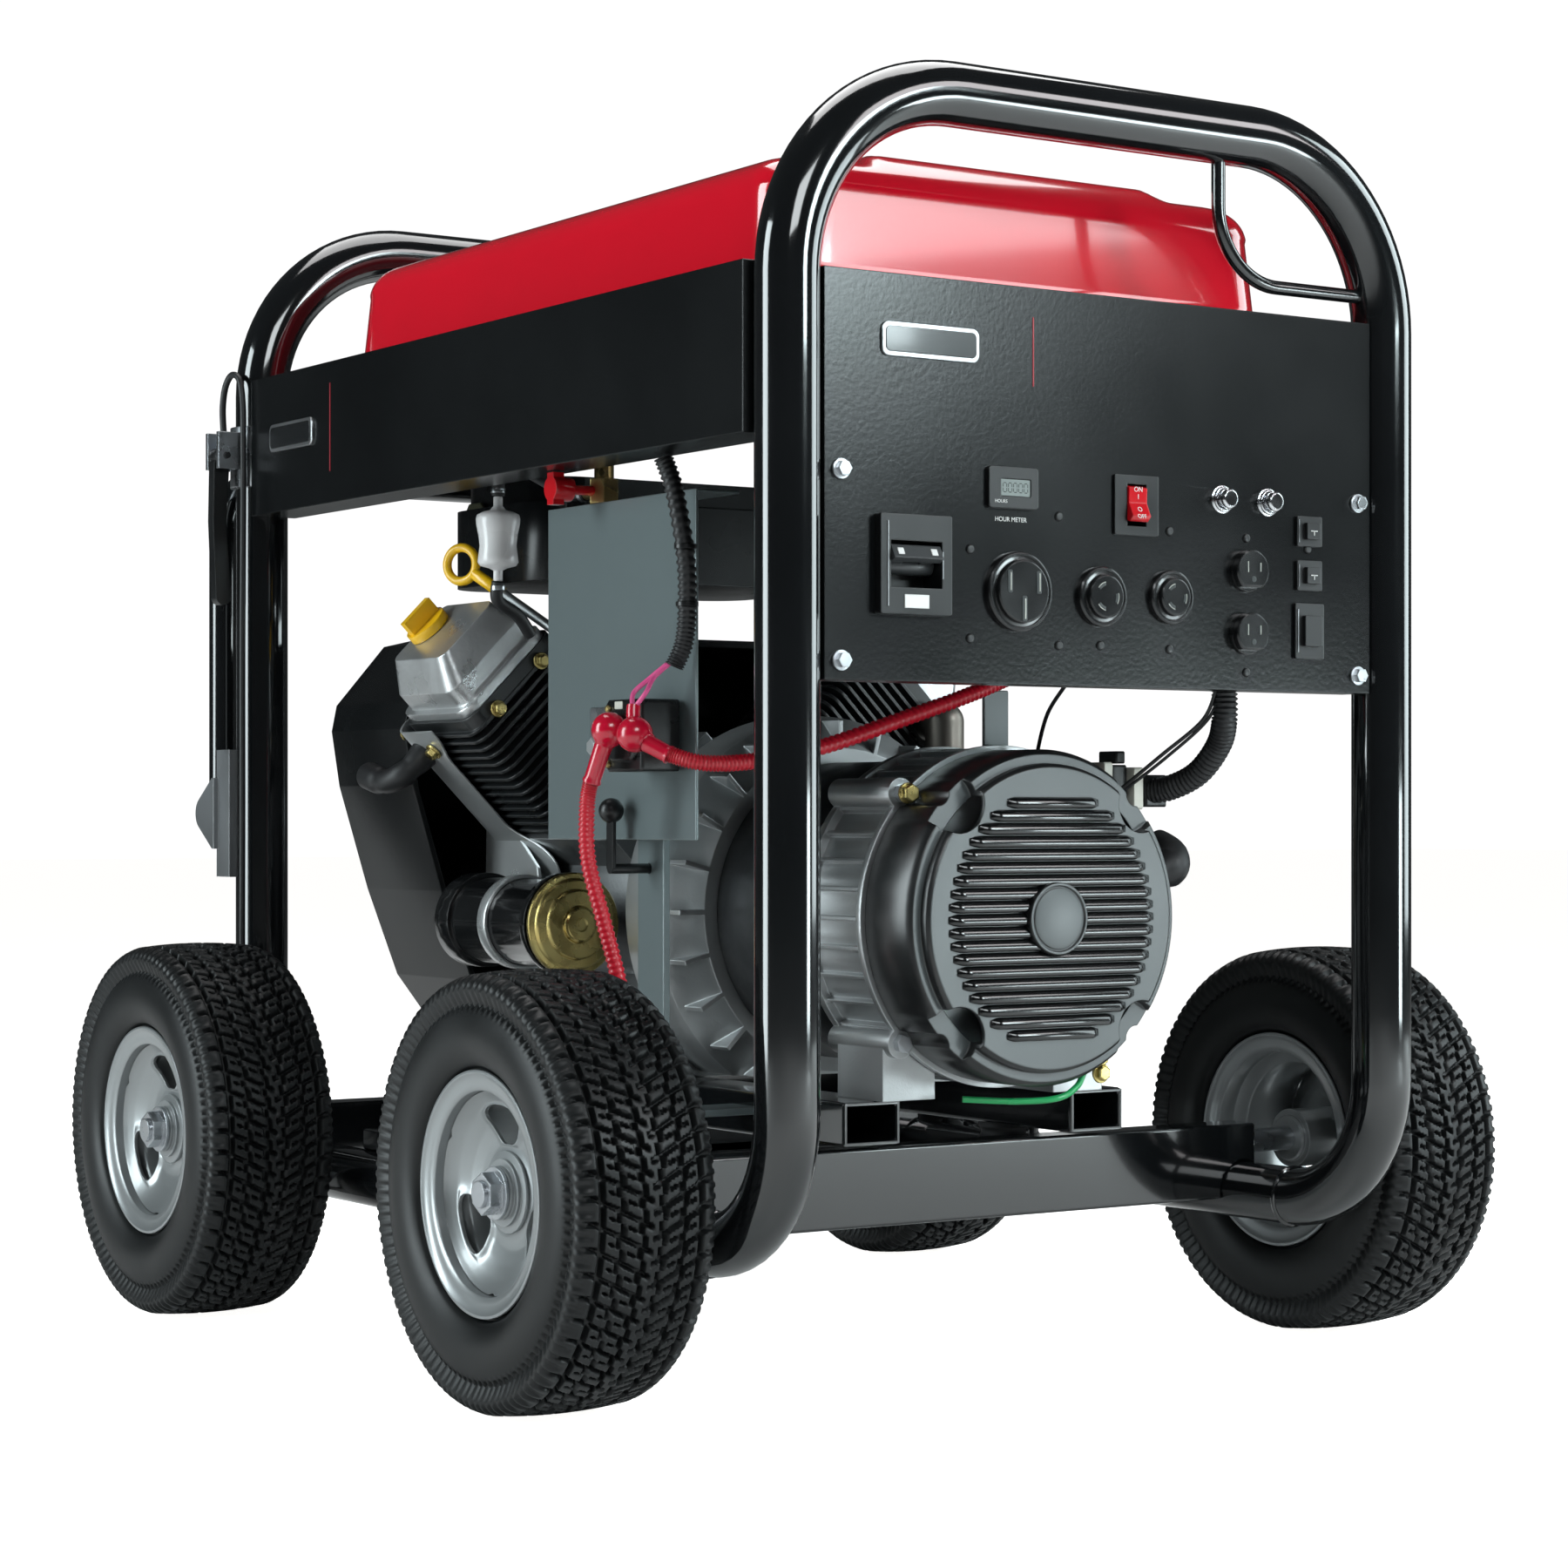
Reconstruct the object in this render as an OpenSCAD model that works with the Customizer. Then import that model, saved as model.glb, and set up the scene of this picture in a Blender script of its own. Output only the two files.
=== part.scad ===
/* [Frame] */
// Distance between the two posts of a hoop, centre to centre
frame_w = 578; // [540:2:700]
// Distance between the front and the rear hoop, centre to centre
frame_l = 884; // [860:2:1100]
// Height of the hoops above the ground
frame_h = 1002; // [980:2:1200]
// Outside diameter of the frame tube
tube_d = 48; // [40:0.5:54]
// Centreline radius of the hoops' upper corners
top_r = 145; // [100:1:180]
// Centreline radius where the legs bend into the side rails
low_r = 104; // [90:1:106]
// Gap between the axles and the side rails that pass under them
rail_gap = 5; // [4.5:0.5:12]
// Height of the beams that carry the axles
beam_h = 63; // [50:1:70]
// Thickness of the axle beams
beam_t = 32; // [28:1:40]

/* [Wheels] */
// Outside diameter of the tyres
tyre_d = 330; // [310:2:350]
// Width of the tyres
tyre_w = 120; // [100:1:130]
// Diameter over the rims' flanges
rim_d = 184; // [170:1:190]
// Gap between a tyre and the side rail
wheel_gap = 15.5; // [10:0.5:40]
// Diameter of the axles
axle_d = 20; // [16:0.5:24]
// Distance from the front hoop back to the front axle
front_axle = 184; // [180:1:240]
// Distance from the rear hoop forward to the rear axle
rear_axle = 81; // [70:1:100]

/* [Control end] */
// Height of the control panel
panel_h = 297; // [280:1:330]
// Height of the control panel's top edge
panel_top = 839; // [830:1:845]
// Thickness of the panels' sheet
sheet_t = 2.5; // [1.5:0.1:4]
// Depth of the box behind the control panel
box_depth = 96; // [70:1:110]
// Height of the side panels
side_h = 125; // [90:1:140]
// Travel of the two reset buttons
button_travel = 3; // [2:0.5:4]

/* [Fuel tank] */
// Width of the tank
tank_w = 488; // [400:2:500]
// Length of the tank
tank_l = 716; // [600:2:760]
// Height of the tank's flange
tank_z = 848; // [846:1:870]
// Height of the tank from its flange to its shoulder
tank_h = 96; // [80:1:100]
// Width of the raised middle of the tank
ridge_w = 242; // [200:2:280]
// Height of the raised middle above the shoulder
ridge_h = 10; // [6:1:12]
// Diameter of the filler neck
neck_d = 58; // [50:1:64]

/* [Engine and alternator] */
// Height of the crankshaft
crank_z = 364; // [350:1:380]
// Height of the engine's feet
foot_z = 221; // [210:1:225]
// Diameter of the alternator cover's front plate
cover_d = 241; // [220:1:246]
// Diameter of the alternator cover's band
band_d = 264; // [256:1:268]
// Diameter of the alternator's end bell
bell_d = 268; // [256:1:280]
// Diameter of the bell between the alternator and the engine
adapter_d = 330; // [300:1:340]
// Distance from the crankshaft to the top of a rocker cover
cylinder_reach = 338; // [320:1:345]
// Side of the cylinders' square fins
fin_w = 124; // [100:1:130]
// Spacing of the cylinders' fins
fin_pitch = 9; // [7:0.5:12]
// Diameter of the starter motor
starter_d = 75; // [60:1:80]

/* [Handle and brake] */
// Diameter of the tow handle's tube
handle_d = 25; // [20:0.5:28]
// Height of the tow handle's pivots
pivot_z = 446; // [420:1:470]
// Length of the tow handle's arms, pivot to grip
handle_l = 318; // [280:1:380]
// Length of the brake lever
lever_l = 130; // [100:1:160]

/* [Hidden] */
$fn = 64;

// Clearance of a shaft in its bore, and of a piece that only sits beside another
run_gap = 0.05;
side_gap = 0.5;

// The origin is on the ground under the middle of the whole machine, from front hoop to rear tyres
tube_r = tube_d / 2;
post_x = frame_w / 2;
post_y = frame_l / 2;
front_axle_y = front_axle - post_y;
rear_axle_y = post_y - rear_axle;
frame_y = (post_y + tube_r - rear_axle_y - tyre_d / 2) / 2;
top_z = frame_h - tube_r;
axle_z = tyre_d / 2;
rail_z = axle_z - axle_d / 2 - rail_gap - tube_r;
wheel_x = post_x + tube_r + wheel_gap + tyre_w / 2;
hub_l = 72;
beam_top = axle_z + 17;

panel_face = -post_y - 12;
panel_x = post_x - tube_r;
panel_z = panel_top - panel_h;
side_x = post_x + tube_r - 2;
side_top = panel_top + 6;
side_z = side_top - side_h;

cover_front = -381;
cover_back = -314;
bell_back = -231;
stator_back = -90;
adapter_back = -10;
case_back = 250;
blower_back = 398;
shaft_d = 38;

module on_frame() translate([0, frame_y, 0]) children();
module each_side() for (s = [-1, 1]) scale_x(s) children();
module scale_x(s) mirror([s < 0 ? 1 : 0, 0, 0]) children();
module along_y(y, l) translate([0, y + l, 0]) rotate([90, 0, 0]) linear_extrude(l) children();
module rod_y(x, y, z, d, l) translate([x, y + l, z]) rotate([90, 0, 0]) cylinder(d = d, h = l);
module rod_x(x, y, z, d, l) translate([x, y, z]) rotate([0, 90, 0]) cylinder(d = d, h = l);
module block(x, y, z, w, l, h) translate([x - w / 2, y, z]) cube([w, l, h]);
module plate(w, h, r) {
  square([w - 2 * r, h], center = true);
  square([w, h - 2 * r], center = true);
  for (x = [-1, 1], y = [-1, 1]) translate([x * (w / 2 - r), y * (h / 2 - r)]) circle(r);
}
module rounded(w, h, r, t) linear_extrude(t) plate(w, h, r);
// A piece that stands on the control panel: x and z of its middle, facing -Y
module on_panel(x, z) translate([x, panel_face, z]) rotate([90, 0, 0]) children();
module hex_screw(d, h, af) {
  cylinder(d = d, h = h);
  cylinder(d = af * 1.155, h = h * 0.7, $fn = 6);
}

// ---- Frame -------------------------------------------------------------------------------------

module quarter(r) rotate_extrude(angle = 90) translate([r, 0]) circle(d = tube_d);
module hoop() {
  flat = post_x - top_r;
  rod_x(-flat, 0, top_z, tube_d, 2 * flat);
  each_side() {
    translate([flat, 0, top_z - top_r]) rotate([90, 0, 0]) quarter(top_r);
    translate([post_x, 0, rail_z + low_r]) cylinder(d = tube_d, h = top_z - top_r - rail_z - low_r);
    translate([post_x, low_r, rail_z + low_r]) rotate([-90, 0, -90]) quarter(low_r);
  }
}
module front_tube() translate([0, -post_y, 0]) hoop();
module rear_tube() mirror([0, 1, 0]) translate([0, -post_y, 0]) hoop();
module rails() each_side() rod_y(post_x, low_r - post_y, rail_z, tube_d, frame_l - 2 * low_r);
module tubes() {
  front_tube();
  rear_tube();
  rails();
}
module front_hoop() on_frame() color("#18181a") front_tube();
module rear_hoop() on_frame() color("#18181a") rear_tube();
module side_rails() on_frame() color("#18181a") rails();

// A hollow beam across the frame, notched over the side rails and bored for its axle
module axle_beam(y) difference() {
  block(0, y - beam_t / 2, beam_top - beam_h, 2 * (post_x + 14), beam_t, beam_h);
  rod_x(-wheel_x, y, axle_z, axle_d + 2 * run_gap, 2 * wheel_x);
  tubes();
}
module front_axle_beam() on_frame() color("#18181a") axle_beam(front_axle_y);
module rear_axle_beam() on_frame() color("#18181a") axle_beam(rear_axle_y);

cross_y = [-170, 215];
cross_h = 40;
skid_h = 35;
skid_w = 54;
skid_x = 112;
iso_h = 18;
cross_top = foot_z - skid_h - iso_h;
module cross_members() on_frame() color("#18181a") for (y = cross_y) difference() {
  block(0, y - 20, cross_top - cross_h, 2 * post_x, 40, cross_h);
  tubes();
}
module isolators() on_frame() color("#202022") for (y = cross_y) each_side()
  translate([skid_x, y, cross_top]) difference() {
    cylinder(d = 42, h = iso_h);
    translate([0, 0, iso_h / 2]) rotate_extrude() translate([23.5, 0]) circle(4.5);
  }
module engine_skids() on_frame() color("#1c1c1e") each_side() difference() {
  block(skid_x, -296, foot_z - skid_h, skid_w, 610, skid_h);
  block(skid_x, -297, foot_z - skid_h + 4, skid_w - 8, 612, skid_h - 8);
}

// Bent rod under the front hoop: down from the top rail, then across to the right post
rod_d = 11;
hook_x = 116;
hook_r = 60;
hook_z = 862;
module hook_rod() on_frame() color("#18181a") difference() {
  translate([hook_x, -post_y, hook_z]) {
    translate([0, 0, hook_r]) cylinder(d = rod_d, h = top_z - hook_z - hook_r);
    translate([hook_r, 0, hook_r]) rotate([90, 0, 0]) mirror([1, 1, 0])
      rotate_extrude(angle = 90) translate([hook_r, 0]) circle(d = rod_d);
    rod_x(hook_r, 0, 0, rod_d, post_x - hook_x - hook_r);
  }
  front_tube();
}

// ---- Wheels ------------------------------------------------------------------------------------

module axles() on_frame() color("#b8bcc0") for (y = [front_axle_y, rear_axle_y])
  rod_x(-wheel_x - hub_l / 2 - 16, y, axle_z, axle_d, 2 * wheel_x + hub_l + 32);
module at_wheel(x, y) on_frame() translate([x * wheel_x, y, axle_z]) rotate([0, x * 90, 0]) children();

// Half section of the tyre: bead, bulging sidewall, square shoulder and slightly crowned tread
bead_r = rim_d / 2 - 12;
module tyre_section() {
  r = tyre_d / 2;
  w = tyre_w / 2;
  polygon([
    [bead_r, -w + 14.3], [rim_d / 2 + 1, -w + 12.8],
    for (a = [-60:15:60]) [bead_r + 38 + 26 * sin(a), -w + 14 - 14 * cos(a)],
    [r - 10, -w + 3], [r - 2.5, -w + 14], [r, -w + 30], [r, w - 30], [r - 2.5, w - 14],
    [r - 10, w - 3],
    for (a = [60:-15:-60]) [bead_r + 38 + 26 * sin(a), w - 14 + 14 * cos(a)],
    [rim_d / 2 + 1, w - 12.8], [bead_r, w - 14.3]]);
}
// Chevron lugs: two rows of slanted blocks that stand a little over the tread
lug_n = 26;
lug_h = 4;
module lugs() intersection() {
  for (i = [0:lug_n - 1], s = [0, 1]) mirror([0, 0, s]) rotate([0, 0, (i + s / 2) * 360 / lug_n])
    translate([tyre_d / 2 - 14, 0, 22]) rotate([32, 0, 0]) translate([0, -6.5, -22]) cube([20, 13, 46]);
  cylinder(d = tyre_d, h = tyre_w - 12, center = true);
}
module tyre(x, y) at_wheel(x, y) color("#1a1a1b") {
  rotate_extrude() difference() {
    tyre_section();
    translate([tyre_d / 2 - lug_h, -tyre_w / 2]) square([lug_h + 1, tyre_w]);
  }
  lugs();
}
// Pressed rim: flanges, drop centre and a dished disc with three windows, with the hub tube
flange_w = hub_l / 2 - 8;
module rim(x, y) at_wheel(x, y) color("#a9abad") difference() {
  union() {
    rotate_extrude() polygon([
      [bead_r, -45.7], [rim_d / 2 - 1, -47.2], [rim_d / 2, -51], [rim_d / 2 - 3, -51], [bead_r - 4, -48],
      [bead_r - 4, -30], [bead_r - 15, -24], [bead_r - 15, 24], [bead_r - 4, 30], [bead_r - 4, 48],
      [rim_d / 2 - 3, 51], [rim_d / 2, 51], [rim_d / 2 - 1, 47.2], [bead_r, 45.7],
      [bead_r, 28], [bead_r - 11, 22], [bead_r - 11, -22], [bead_r, -28]]);
    rotate_extrude() polygon([
      [20, flange_w - 4], [27, flange_w - 4], [34, 10], [48, 4], [bead_r - 13, 20], [bead_r - 13, 24],
      [47, 8], [36, 14], [29, flange_w], [20, flange_w]]);
    cylinder(d = 50, h = hub_l - 8, center = true);
    cylinder(d = 40, h = hub_l, center = true);
  }
  cylinder(d = axle_d + 2 * run_gap, h = hub_l + 2, center = true);
  for (a = [90, 210, 330]) rotate([0, 0, a]) translate([50, 0, -10]) linear_extrude(60) hull() {
    circle(6, $fn = 24);
    for (s = [-1, 1]) rotate([0, 0, s * 12]) translate([3, 0]) circle(6, $fn = 24);
  }
}
module tyre_fl() tyre(-1, front_axle_y);
module tyre_fr() tyre(1, front_axle_y);
module tyre_rl() tyre(-1, rear_axle_y);
module tyre_rr() tyre(1, rear_axle_y);
module rim_fl() rim(-1, front_axle_y);
module rim_fr() rim(1, front_axle_y);
module rim_rl() rim(-1, rear_axle_y);
module rim_rr() rim(1, rear_axle_y);

// ---- Tow handle and parking brake --------------------------------------------------------------

handle_x = post_x + 17;
bracket_x = post_x + 8;
handle_y = post_y + tube_r + 26;
pin_d = 12;
module tow_handle() on_frame() color("#18181a") difference() {
  translate([0, handle_y, pivot_z]) {
    each_side() {
      arm = handle_l - 50;
      translate([handle_x, 0, -14]) cylinder(d = handle_d, h = arm + 14);
      translate([handle_x - 50, 0, arm]) rotate([90, 0, 0])
        rotate_extrude(angle = 90) translate([50, 0]) circle(d = handle_d);
    }
    rod_x(-handle_x + 50, 0, handle_l, handle_d, 2 * handle_x - 100);
  }
  rod_x(-2 * post_x, handle_y, pivot_z, pin_d + 2 * run_gap, 4 * post_x);
}
// Cast bracket on each rear post: a web bolted to the post, two cheeks and the pivot pin
bracket_h = 118;
module handle_brackets() on_frame() color("#8f9295") each_side() difference() {
  union() {
    block(bracket_x, post_y, pivot_z - bracket_h / 2, 50, tube_r + 4, bracket_h);
    for (s = [-1, 1]) translate([handle_x + s * (handle_d / 2 + 4.5) - 4, 0, 0])
      rotate([90, 0, 90]) linear_extrude(8) hull() {
        translate([handle_y, pivot_z]) circle(15);
        translate([post_y + tube_r, pivot_z - 33]) square([4, 66]);
      }
    rod_x(handle_x - 21, handle_y, pivot_z, pin_d, 42);
  }
  tubes();
}

perch_z = 776;
perch_x = -post_x;
lever_x = perch_x - tube_r - 18;
// Clamp on the rear left post with two ears that hold the brake lever
module brake_perch() on_frame() color("#b9bcbf") difference() {
  union() {
    translate([perch_x, post_y, perch_z - 28]) cylinder(d = tube_d + 10, h = 56);
    for (s = [-1, 1]) translate([lever_x - 8, post_y + s * 12 - 2.5, perch_z - 12]) cube([34, 5, 34]);
  }
  translate([perch_x, post_y, perch_z - 30]) cylinder(d = tube_d, h = 60);
  translate([perch_x - 40, post_y - tube_r - 20, perch_z - 30]) cube([80, 20 + side_gap, 60]);
  rod_y(lever_x, post_y - 20, perch_z, 6 + 2 * run_gap, 40);
}
// The lever hangs beside the post from its pivot pin, tapering to a rounded end
module brake_lever() on_frame() color("#1b1b1d") translate([lever_x, post_y, perch_z]) {
  rod_y(0, -17, 0, 6, 34);
  rod_y(0, -9, 0, 16, 18);
  for (p = [[-1, -8, 15, -3, -60, 13], [-3, -60, 13, 1, -lever_l, 15]])
    translate([0, 6, 0]) rotate([90, 0, 0]) linear_extrude(12) hull() {
      translate([p[0], p[1]]) circle(d = p[2], $fn = 32);
      translate([p[3], p[4]]) circle(d = p[5], $fn = 32);
    }
}

// ---- Swept cords held between two housings -----------------------------------------------------

function unit(v) = v / norm(v);
function ring(c, t, r, n) = let (
    k = unit(t), u = unit(cross(k, abs(k.z) < 0.9 ? [0, 0, 1] : [1, 0, 0])), v = cross(k, u))
  [for (i = [0:n - 1]) c + r * (cos(i * 360 / n) * u + sin(i * 360 / n) * v)];
// Catmull-Rom points along a list of hand-chosen points
function bend(p, m) = [
  for (i = [0:len(p) - 2], j = [0:m - 1]) let (
      a = p[max(i - 1, 0)], b = p[i], c = p[i + 1], d = p[min(i + 2, len(p) - 1)], t = j / m)
    0.5 * (2 * b + (c - a) * t + (2 * a - 5 * b + 4 * c - d) * t * t
      + (3 * b - a - 3 * c + d) * t * t * t),
  p[len(p) - 1]];
module cord(route, d, m = 4, n = 8) {
  c = bend(route, m);
  l = len(c);
  tangents = [for (i = [0:l - 1]) c[min(i + 1, l - 1)] - c[max(i - 1, 0)]];
  pts = [for (i = [0:l - 1]) each ring(c[i], tangents[i], d / 2, n)];
  polyhedron(pts, [
    [for (j = [0:n - 1]) j],
    [for (j = [n - 1:-1:0]) (l - 1) * n + j],
    for (i = [0:l - 2], j = [0:n - 1])
      [i * n + j, (i + 1) * n + j, (i + 1) * n + (j + 1) % n, i * n + (j + 1) % n]]);
}

// Brake cable: out of the perch, over, and down the post to the rear axle beam
module brake_cable() on_frame() color("#1a1a1c") cord([
  [-322, 454, 798.5], [-323, 454, 822], [-322, 450, 842], [-320, 440, 852], [-318, 428, 846],
  [-317, 423, 822], [-317, 422, 780], [-317, 422, 740], [-317, 424, 600], [-317, 424, 450],
  [-318, 422, 300], [-320, 412, 222], [-320, 394, 198], [-314, 376, 190],
  [-300, rear_axle_y, beam_top + 3.5]], 6, 3);

// ---- Control end -------------------------------------------------------------------------------

meter = [-97, 688, 46, 31];
bezel = [22, 681, 43, 46];
button_x = [109, 156];
button_z = 690;
main_cb = [-189, 627, 64, 73];
// Receptacles: x, z and outside diameter
outlet_list = [[-91, 611, 60], [-12, 610, 46], [56, 612, 42], [134, 635, 33], [134, 586, 33]];
// Small breakers: x, z, width and height
small_cb = [[198, 669, 26, 24], [198, 634, 26, 24], [198, 590, 30, 44]];
screw_x = panel_x - 14;
screw_z = [556, 694];

module control_panel() on_frame() color("#1f2022") difference() {
  translate([0, panel_face, panel_z]) difference() {
    block(0, 0, 0, 2 * panel_x, 32, panel_h);
    block(0, sheet_t, sheet_t, 2 * (panel_x - sheet_t), 40, panel_h - 2 * sheet_t);
  }
  for (d = [meter, bezel, main_cb])
    block(d[0], panel_face - 1, d[1] - d[3] / 2 + 3, d[2] - 6, sheet_t + 2, d[3] - 6);
  for (d = small_cb) block(d[0], panel_face - 1, d[1] - d[3] / 2 + 3, d[2] - 6, sheet_t + 2, d[3] - 6);
  for (d = outlet_list) rod_y(d[0], panel_face - 1, d[1], d[2] - 6, sheet_t + 2);
  for (x = button_x) rod_y(x, panel_face - 1, button_z, 14, sheet_t + 2);
  for (x = [-screw_x, screw_x], z = screw_z) rod_y(x, panel_face - 1, z, 6.4, sheet_t + 2);
  tubes();
}
box_w = 2 * panel_x - 46;
box_y = panel_face + sheet_t + side_gap;
module panel_box() on_frame() color("#1b1c1e") difference() {
  block(0, box_y, panel_z + 12, box_w, box_depth, panel_h - 24);
  block(0, box_y - 1, panel_z + 14, box_w - 4, box_depth - 1, panel_h - 28);
}

// Side panels: a sheet with four flanges folded inward, between the front and rear posts
module side_panels() on_frame() color("#1f2022") each_side() difference() {
  y0 = -post_y + tube_r;
  translate([side_x - 45, y0, side_z]) difference() {
    cube([45, -2 * y0, side_h]);
    translate([-1, sheet_t, sheet_t]) cube([46 - sheet_t, -2 * y0 - 2 * sheet_t, side_h - 2 * sheet_t]);
  }
  tubes();
}

module hour_meter() difference() {
  union() {
    on_panel(meter[0], meter[1]) rounded(meter[2], meter[3], 3, 4);
    block(meter[0], panel_face, meter[1] - meter[3] / 2 + 4, meter[2] - 8, 24, meter[3] - 8);
  }
  on_panel(meter[0] + 2, meter[1]) translate([0, 0, 3]) rounded(28, 13, 1, 3);
}
rocker_w = 17.6;
rocker_r = 15.4;
rocker_tilt = 12;
module switch_bezel() difference() {
  union() {
    on_panel(bezel[0], bezel[1]) rounded(bezel[2], bezel[3], 1.5, 2.5);
    block(bezel[0], panel_face, bezel[1] - 19, 26, 24, 38);
  }
  block(bezel[0], panel_face - 5, bezel[1] - rocker_r - 0.6, rocker_w + 1, 25, 2 * rocker_r + 1.2);
  rod_x(bezel[0] - 11, panel_face + 4, bezel[1], 3 + 2 * run_gap, 22);
}
module panel_bezels() on_frame() color("#26272a") {
  hour_meter();
  switch_bezel();
}
module power_rocker() on_frame() color("#c8141c")
  translate([bezel[0], panel_face + 4, bezel[1]]) rotate([-rocker_tilt, 0, 0]) {
    rotate([90, 0, 90]) linear_extrude(rocker_w, center = true) intersection() {
      circle(rocker_r);
      polygon([[12, 4], [12, -4], [-9, -16], [-12, -16], [-8, 0], [-12, 16], [-9, 16]]);
    }
    rod_x(-10.5, 0, 0, 3, 21);
  }
button_d = 15.6;
stem_d = 9;
module button_collars() on_frame() color("#c9ccd0") for (x = button_x) on_panel(x, button_z) difference() {
  union() {
    cylinder(d = 22, h = 1.5);
    cylinder(d = 19, h = 4);
    translate([0, 0, -14]) cylinder(d = 13, h = 14);
  }
  translate([0, 0, -15]) cylinder(d = stem_d + 2 * run_gap, h = 22);
}
module reset_button(x) on_frame() color("#d4d7da") on_panel(x, button_z) {
  translate([0, 0, -18]) cylinder(d = stem_d, h = 23 + button_travel);
  translate([0, 0, 4.4 + button_travel]) cylinder(d = button_d, h = 3);
  translate([0, 0, 7.4 + button_travel]) cylinder(d1 = button_d, d2 = button_d - 3, h = 1.5);
}
module reset_button_a() reset_button(button_x[0]);
module reset_button_b() reset_button(button_x[1]);

cb_front = 8;
cb_hub = 7;
cb_pivot = 8;
module breakers() on_frame() color("#161719") {
  difference() {
    union() {
      on_panel(main_cb[0], main_cb[1]) rounded(main_cb[2], main_cb[3], 2, cb_front);
      block(main_cb[0], panel_face, main_cb[1] - main_cb[3] / 2 + 4, main_cb[2] - 8, 45, main_cb[3] - 8);
    }
    block(main_cb[0], panel_face - cb_front - 1, main_cb[1] - 17, 46, cb_front + cb_pivot + 10, 34);
    rod_x(main_cb[0] - 26, panel_face + cb_pivot, main_cb[1], 4 + 2 * run_gap, 52);
  }
  for (d = small_cb) {
    on_panel(d[0], d[1]) rounded(d[2], d[3], 1.5, 3);
    on_panel(d[0] + 1, d[1]) rounded(d[2] - 12, d[3] * 0.55, 1, 7);
    block(d[0], panel_face, d[1] - d[3] / 2 + 4, d[2] - 8, 26, d[3] - 8);
  }
}
throw = 28;
// Two toggles joined by a tie bar, thrown up
module breaker_handle() on_frame() color("#4a4c50")
  translate([main_cb[0], panel_face + cb_pivot, main_cb[1]]) rotate([-throw, 0, 0]) {
    rod_x(-22, 0, 0, 2 * cb_hub, 44);
    rod_x(-25.5, 0, 0, 4, 51);
    for (x = [-13, 13]) block(x, -16, -3, 10, 14, 6);
    block(0, -19.5, -5.5, 44, 6, 11);
  }
module outlets() on_frame() color("#141516") for (d = outlet_list) difference() {
  union() {
    on_panel(d[0], d[1]) cylinder(d = d[2], h = 4);
    on_panel(d[0], d[1]) cylinder(d1 = d[2] - 6, d2 = d[2] - 8, h = 10);
    rod_y(d[0], panel_face, d[1], d[2] - 8, 28);
  }
  for (a = [0, 120, 240]) on_panel(d[0], d[1]) rotate([0, 0, a + 90])
    translate([d[2] * 0.22, 0, -8]) linear_extrude(20) square([d[2] * 0.05, d[2] * 0.22], center = true);
}

// ---- Fuel --------------------------------------------------------------------------------------

tank_y = -5;
ridge_top = tank_z + tank_h + ridge_h;
neck_y = 60;
module tank_loaf(w, l, h, r, draft) {
  steps = 6;
  hull() {
    linear_extrude(1) plate(w, l, r);
    for (i = [0:steps]) {
      a = i * 90 / steps;
      edge = 22;
      translate([0, 0, h - edge + edge * sin(a) - 0.01]) linear_extrude(0.01)
        plate(w - 2 * draft - 2 * edge * (1 - cos(a)), l - 2 * draft - 2 * edge * (1 - cos(a)), r);
    }
  }
}
module tank() on_frame() color("#b31217") translate([0, tank_y, tank_z]) difference() {
  union() {
    linear_extrude(3) plate(tank_w + 24, tank_l + 20, 30);
    tank_loaf(tank_w, tank_l, tank_h, 40, 5, $fn = 32);
    hull() {
      translate([0, 0, tank_h - 2]) linear_extrude(1) plate(ridge_w + 56, tank_l - 60, 20, $fn = 32);
      translate([0, 0, tank_h + ridge_h - 1]) linear_extrude(1) plate(ridge_w, tank_l - 90, 12, $fn = 32);
    }
    translate([0, neck_y, tank_h]) cylinder(d = neck_d + 6, h = ridge_h + 8);
  }
  translate([0, neck_y, 30]) cylinder(d = neck_d, h = tank_h);
}
module fuel_cap() on_frame() color("#161617") translate([0, tank_y + neck_y, ridge_top + 8 + side_gap]) {
  cylinder(d = neck_d + 24, h = 20);
  translate([0, 0, 20]) cylinder(d1 = neck_d + 24, d2 = neck_d + 18, h = 3);
  translate([0, 0, -14]) cylinder(d = neck_d - 2 * run_gap, h = 15);
  for (a = [0:20:340]) rotate([0, 0, a]) translate([neck_d / 2 + 12, 0, 0]) cylinder(d = 6, h = 19);
}

// Fuel valve: hangs from the tank on a short pipe, with a turning T-knob on its outer side
valve = [-238, -98, 706];
module fuel_valve() on_frame() color("#b89b4b") translate(valve) difference() {
  union() {
    cylinder(d = 16, h = tank_z - valve.z);
    translate([0, 0, -10]) cylinder(d = 26, h = 20, $fn = 6);
    rod_y(0, 8, 0, 9, 20);
  }
  rod_x(-20, 0, 0, 8 + 2 * run_gap, 24);
}
module fuel_knob() on_frame() color("#c8141c") translate(valve) {
  rod_x(-50, 0, 0, 8, 53);
  rod_x(-50, 0, 0, 20, 18);
  translate([-50, -5, -13]) cube([10, 10, 26]);
}
filter_at = [-236, 83, 662];
module fuel_filter() on_frame() color("#e6e2d2") translate(filter_at) {
  cylinder(d = 38, h = 36);
  translate([0, 0, 36]) cylinder(d1 = 38, d2 = 16, h = 6);
  translate([0, 0, -6]) cylinder(d1 = 16, d2 = 38, h = 6);
  translate([0, 0, -18]) cylinder(d = 8, h = 72);
}
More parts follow.
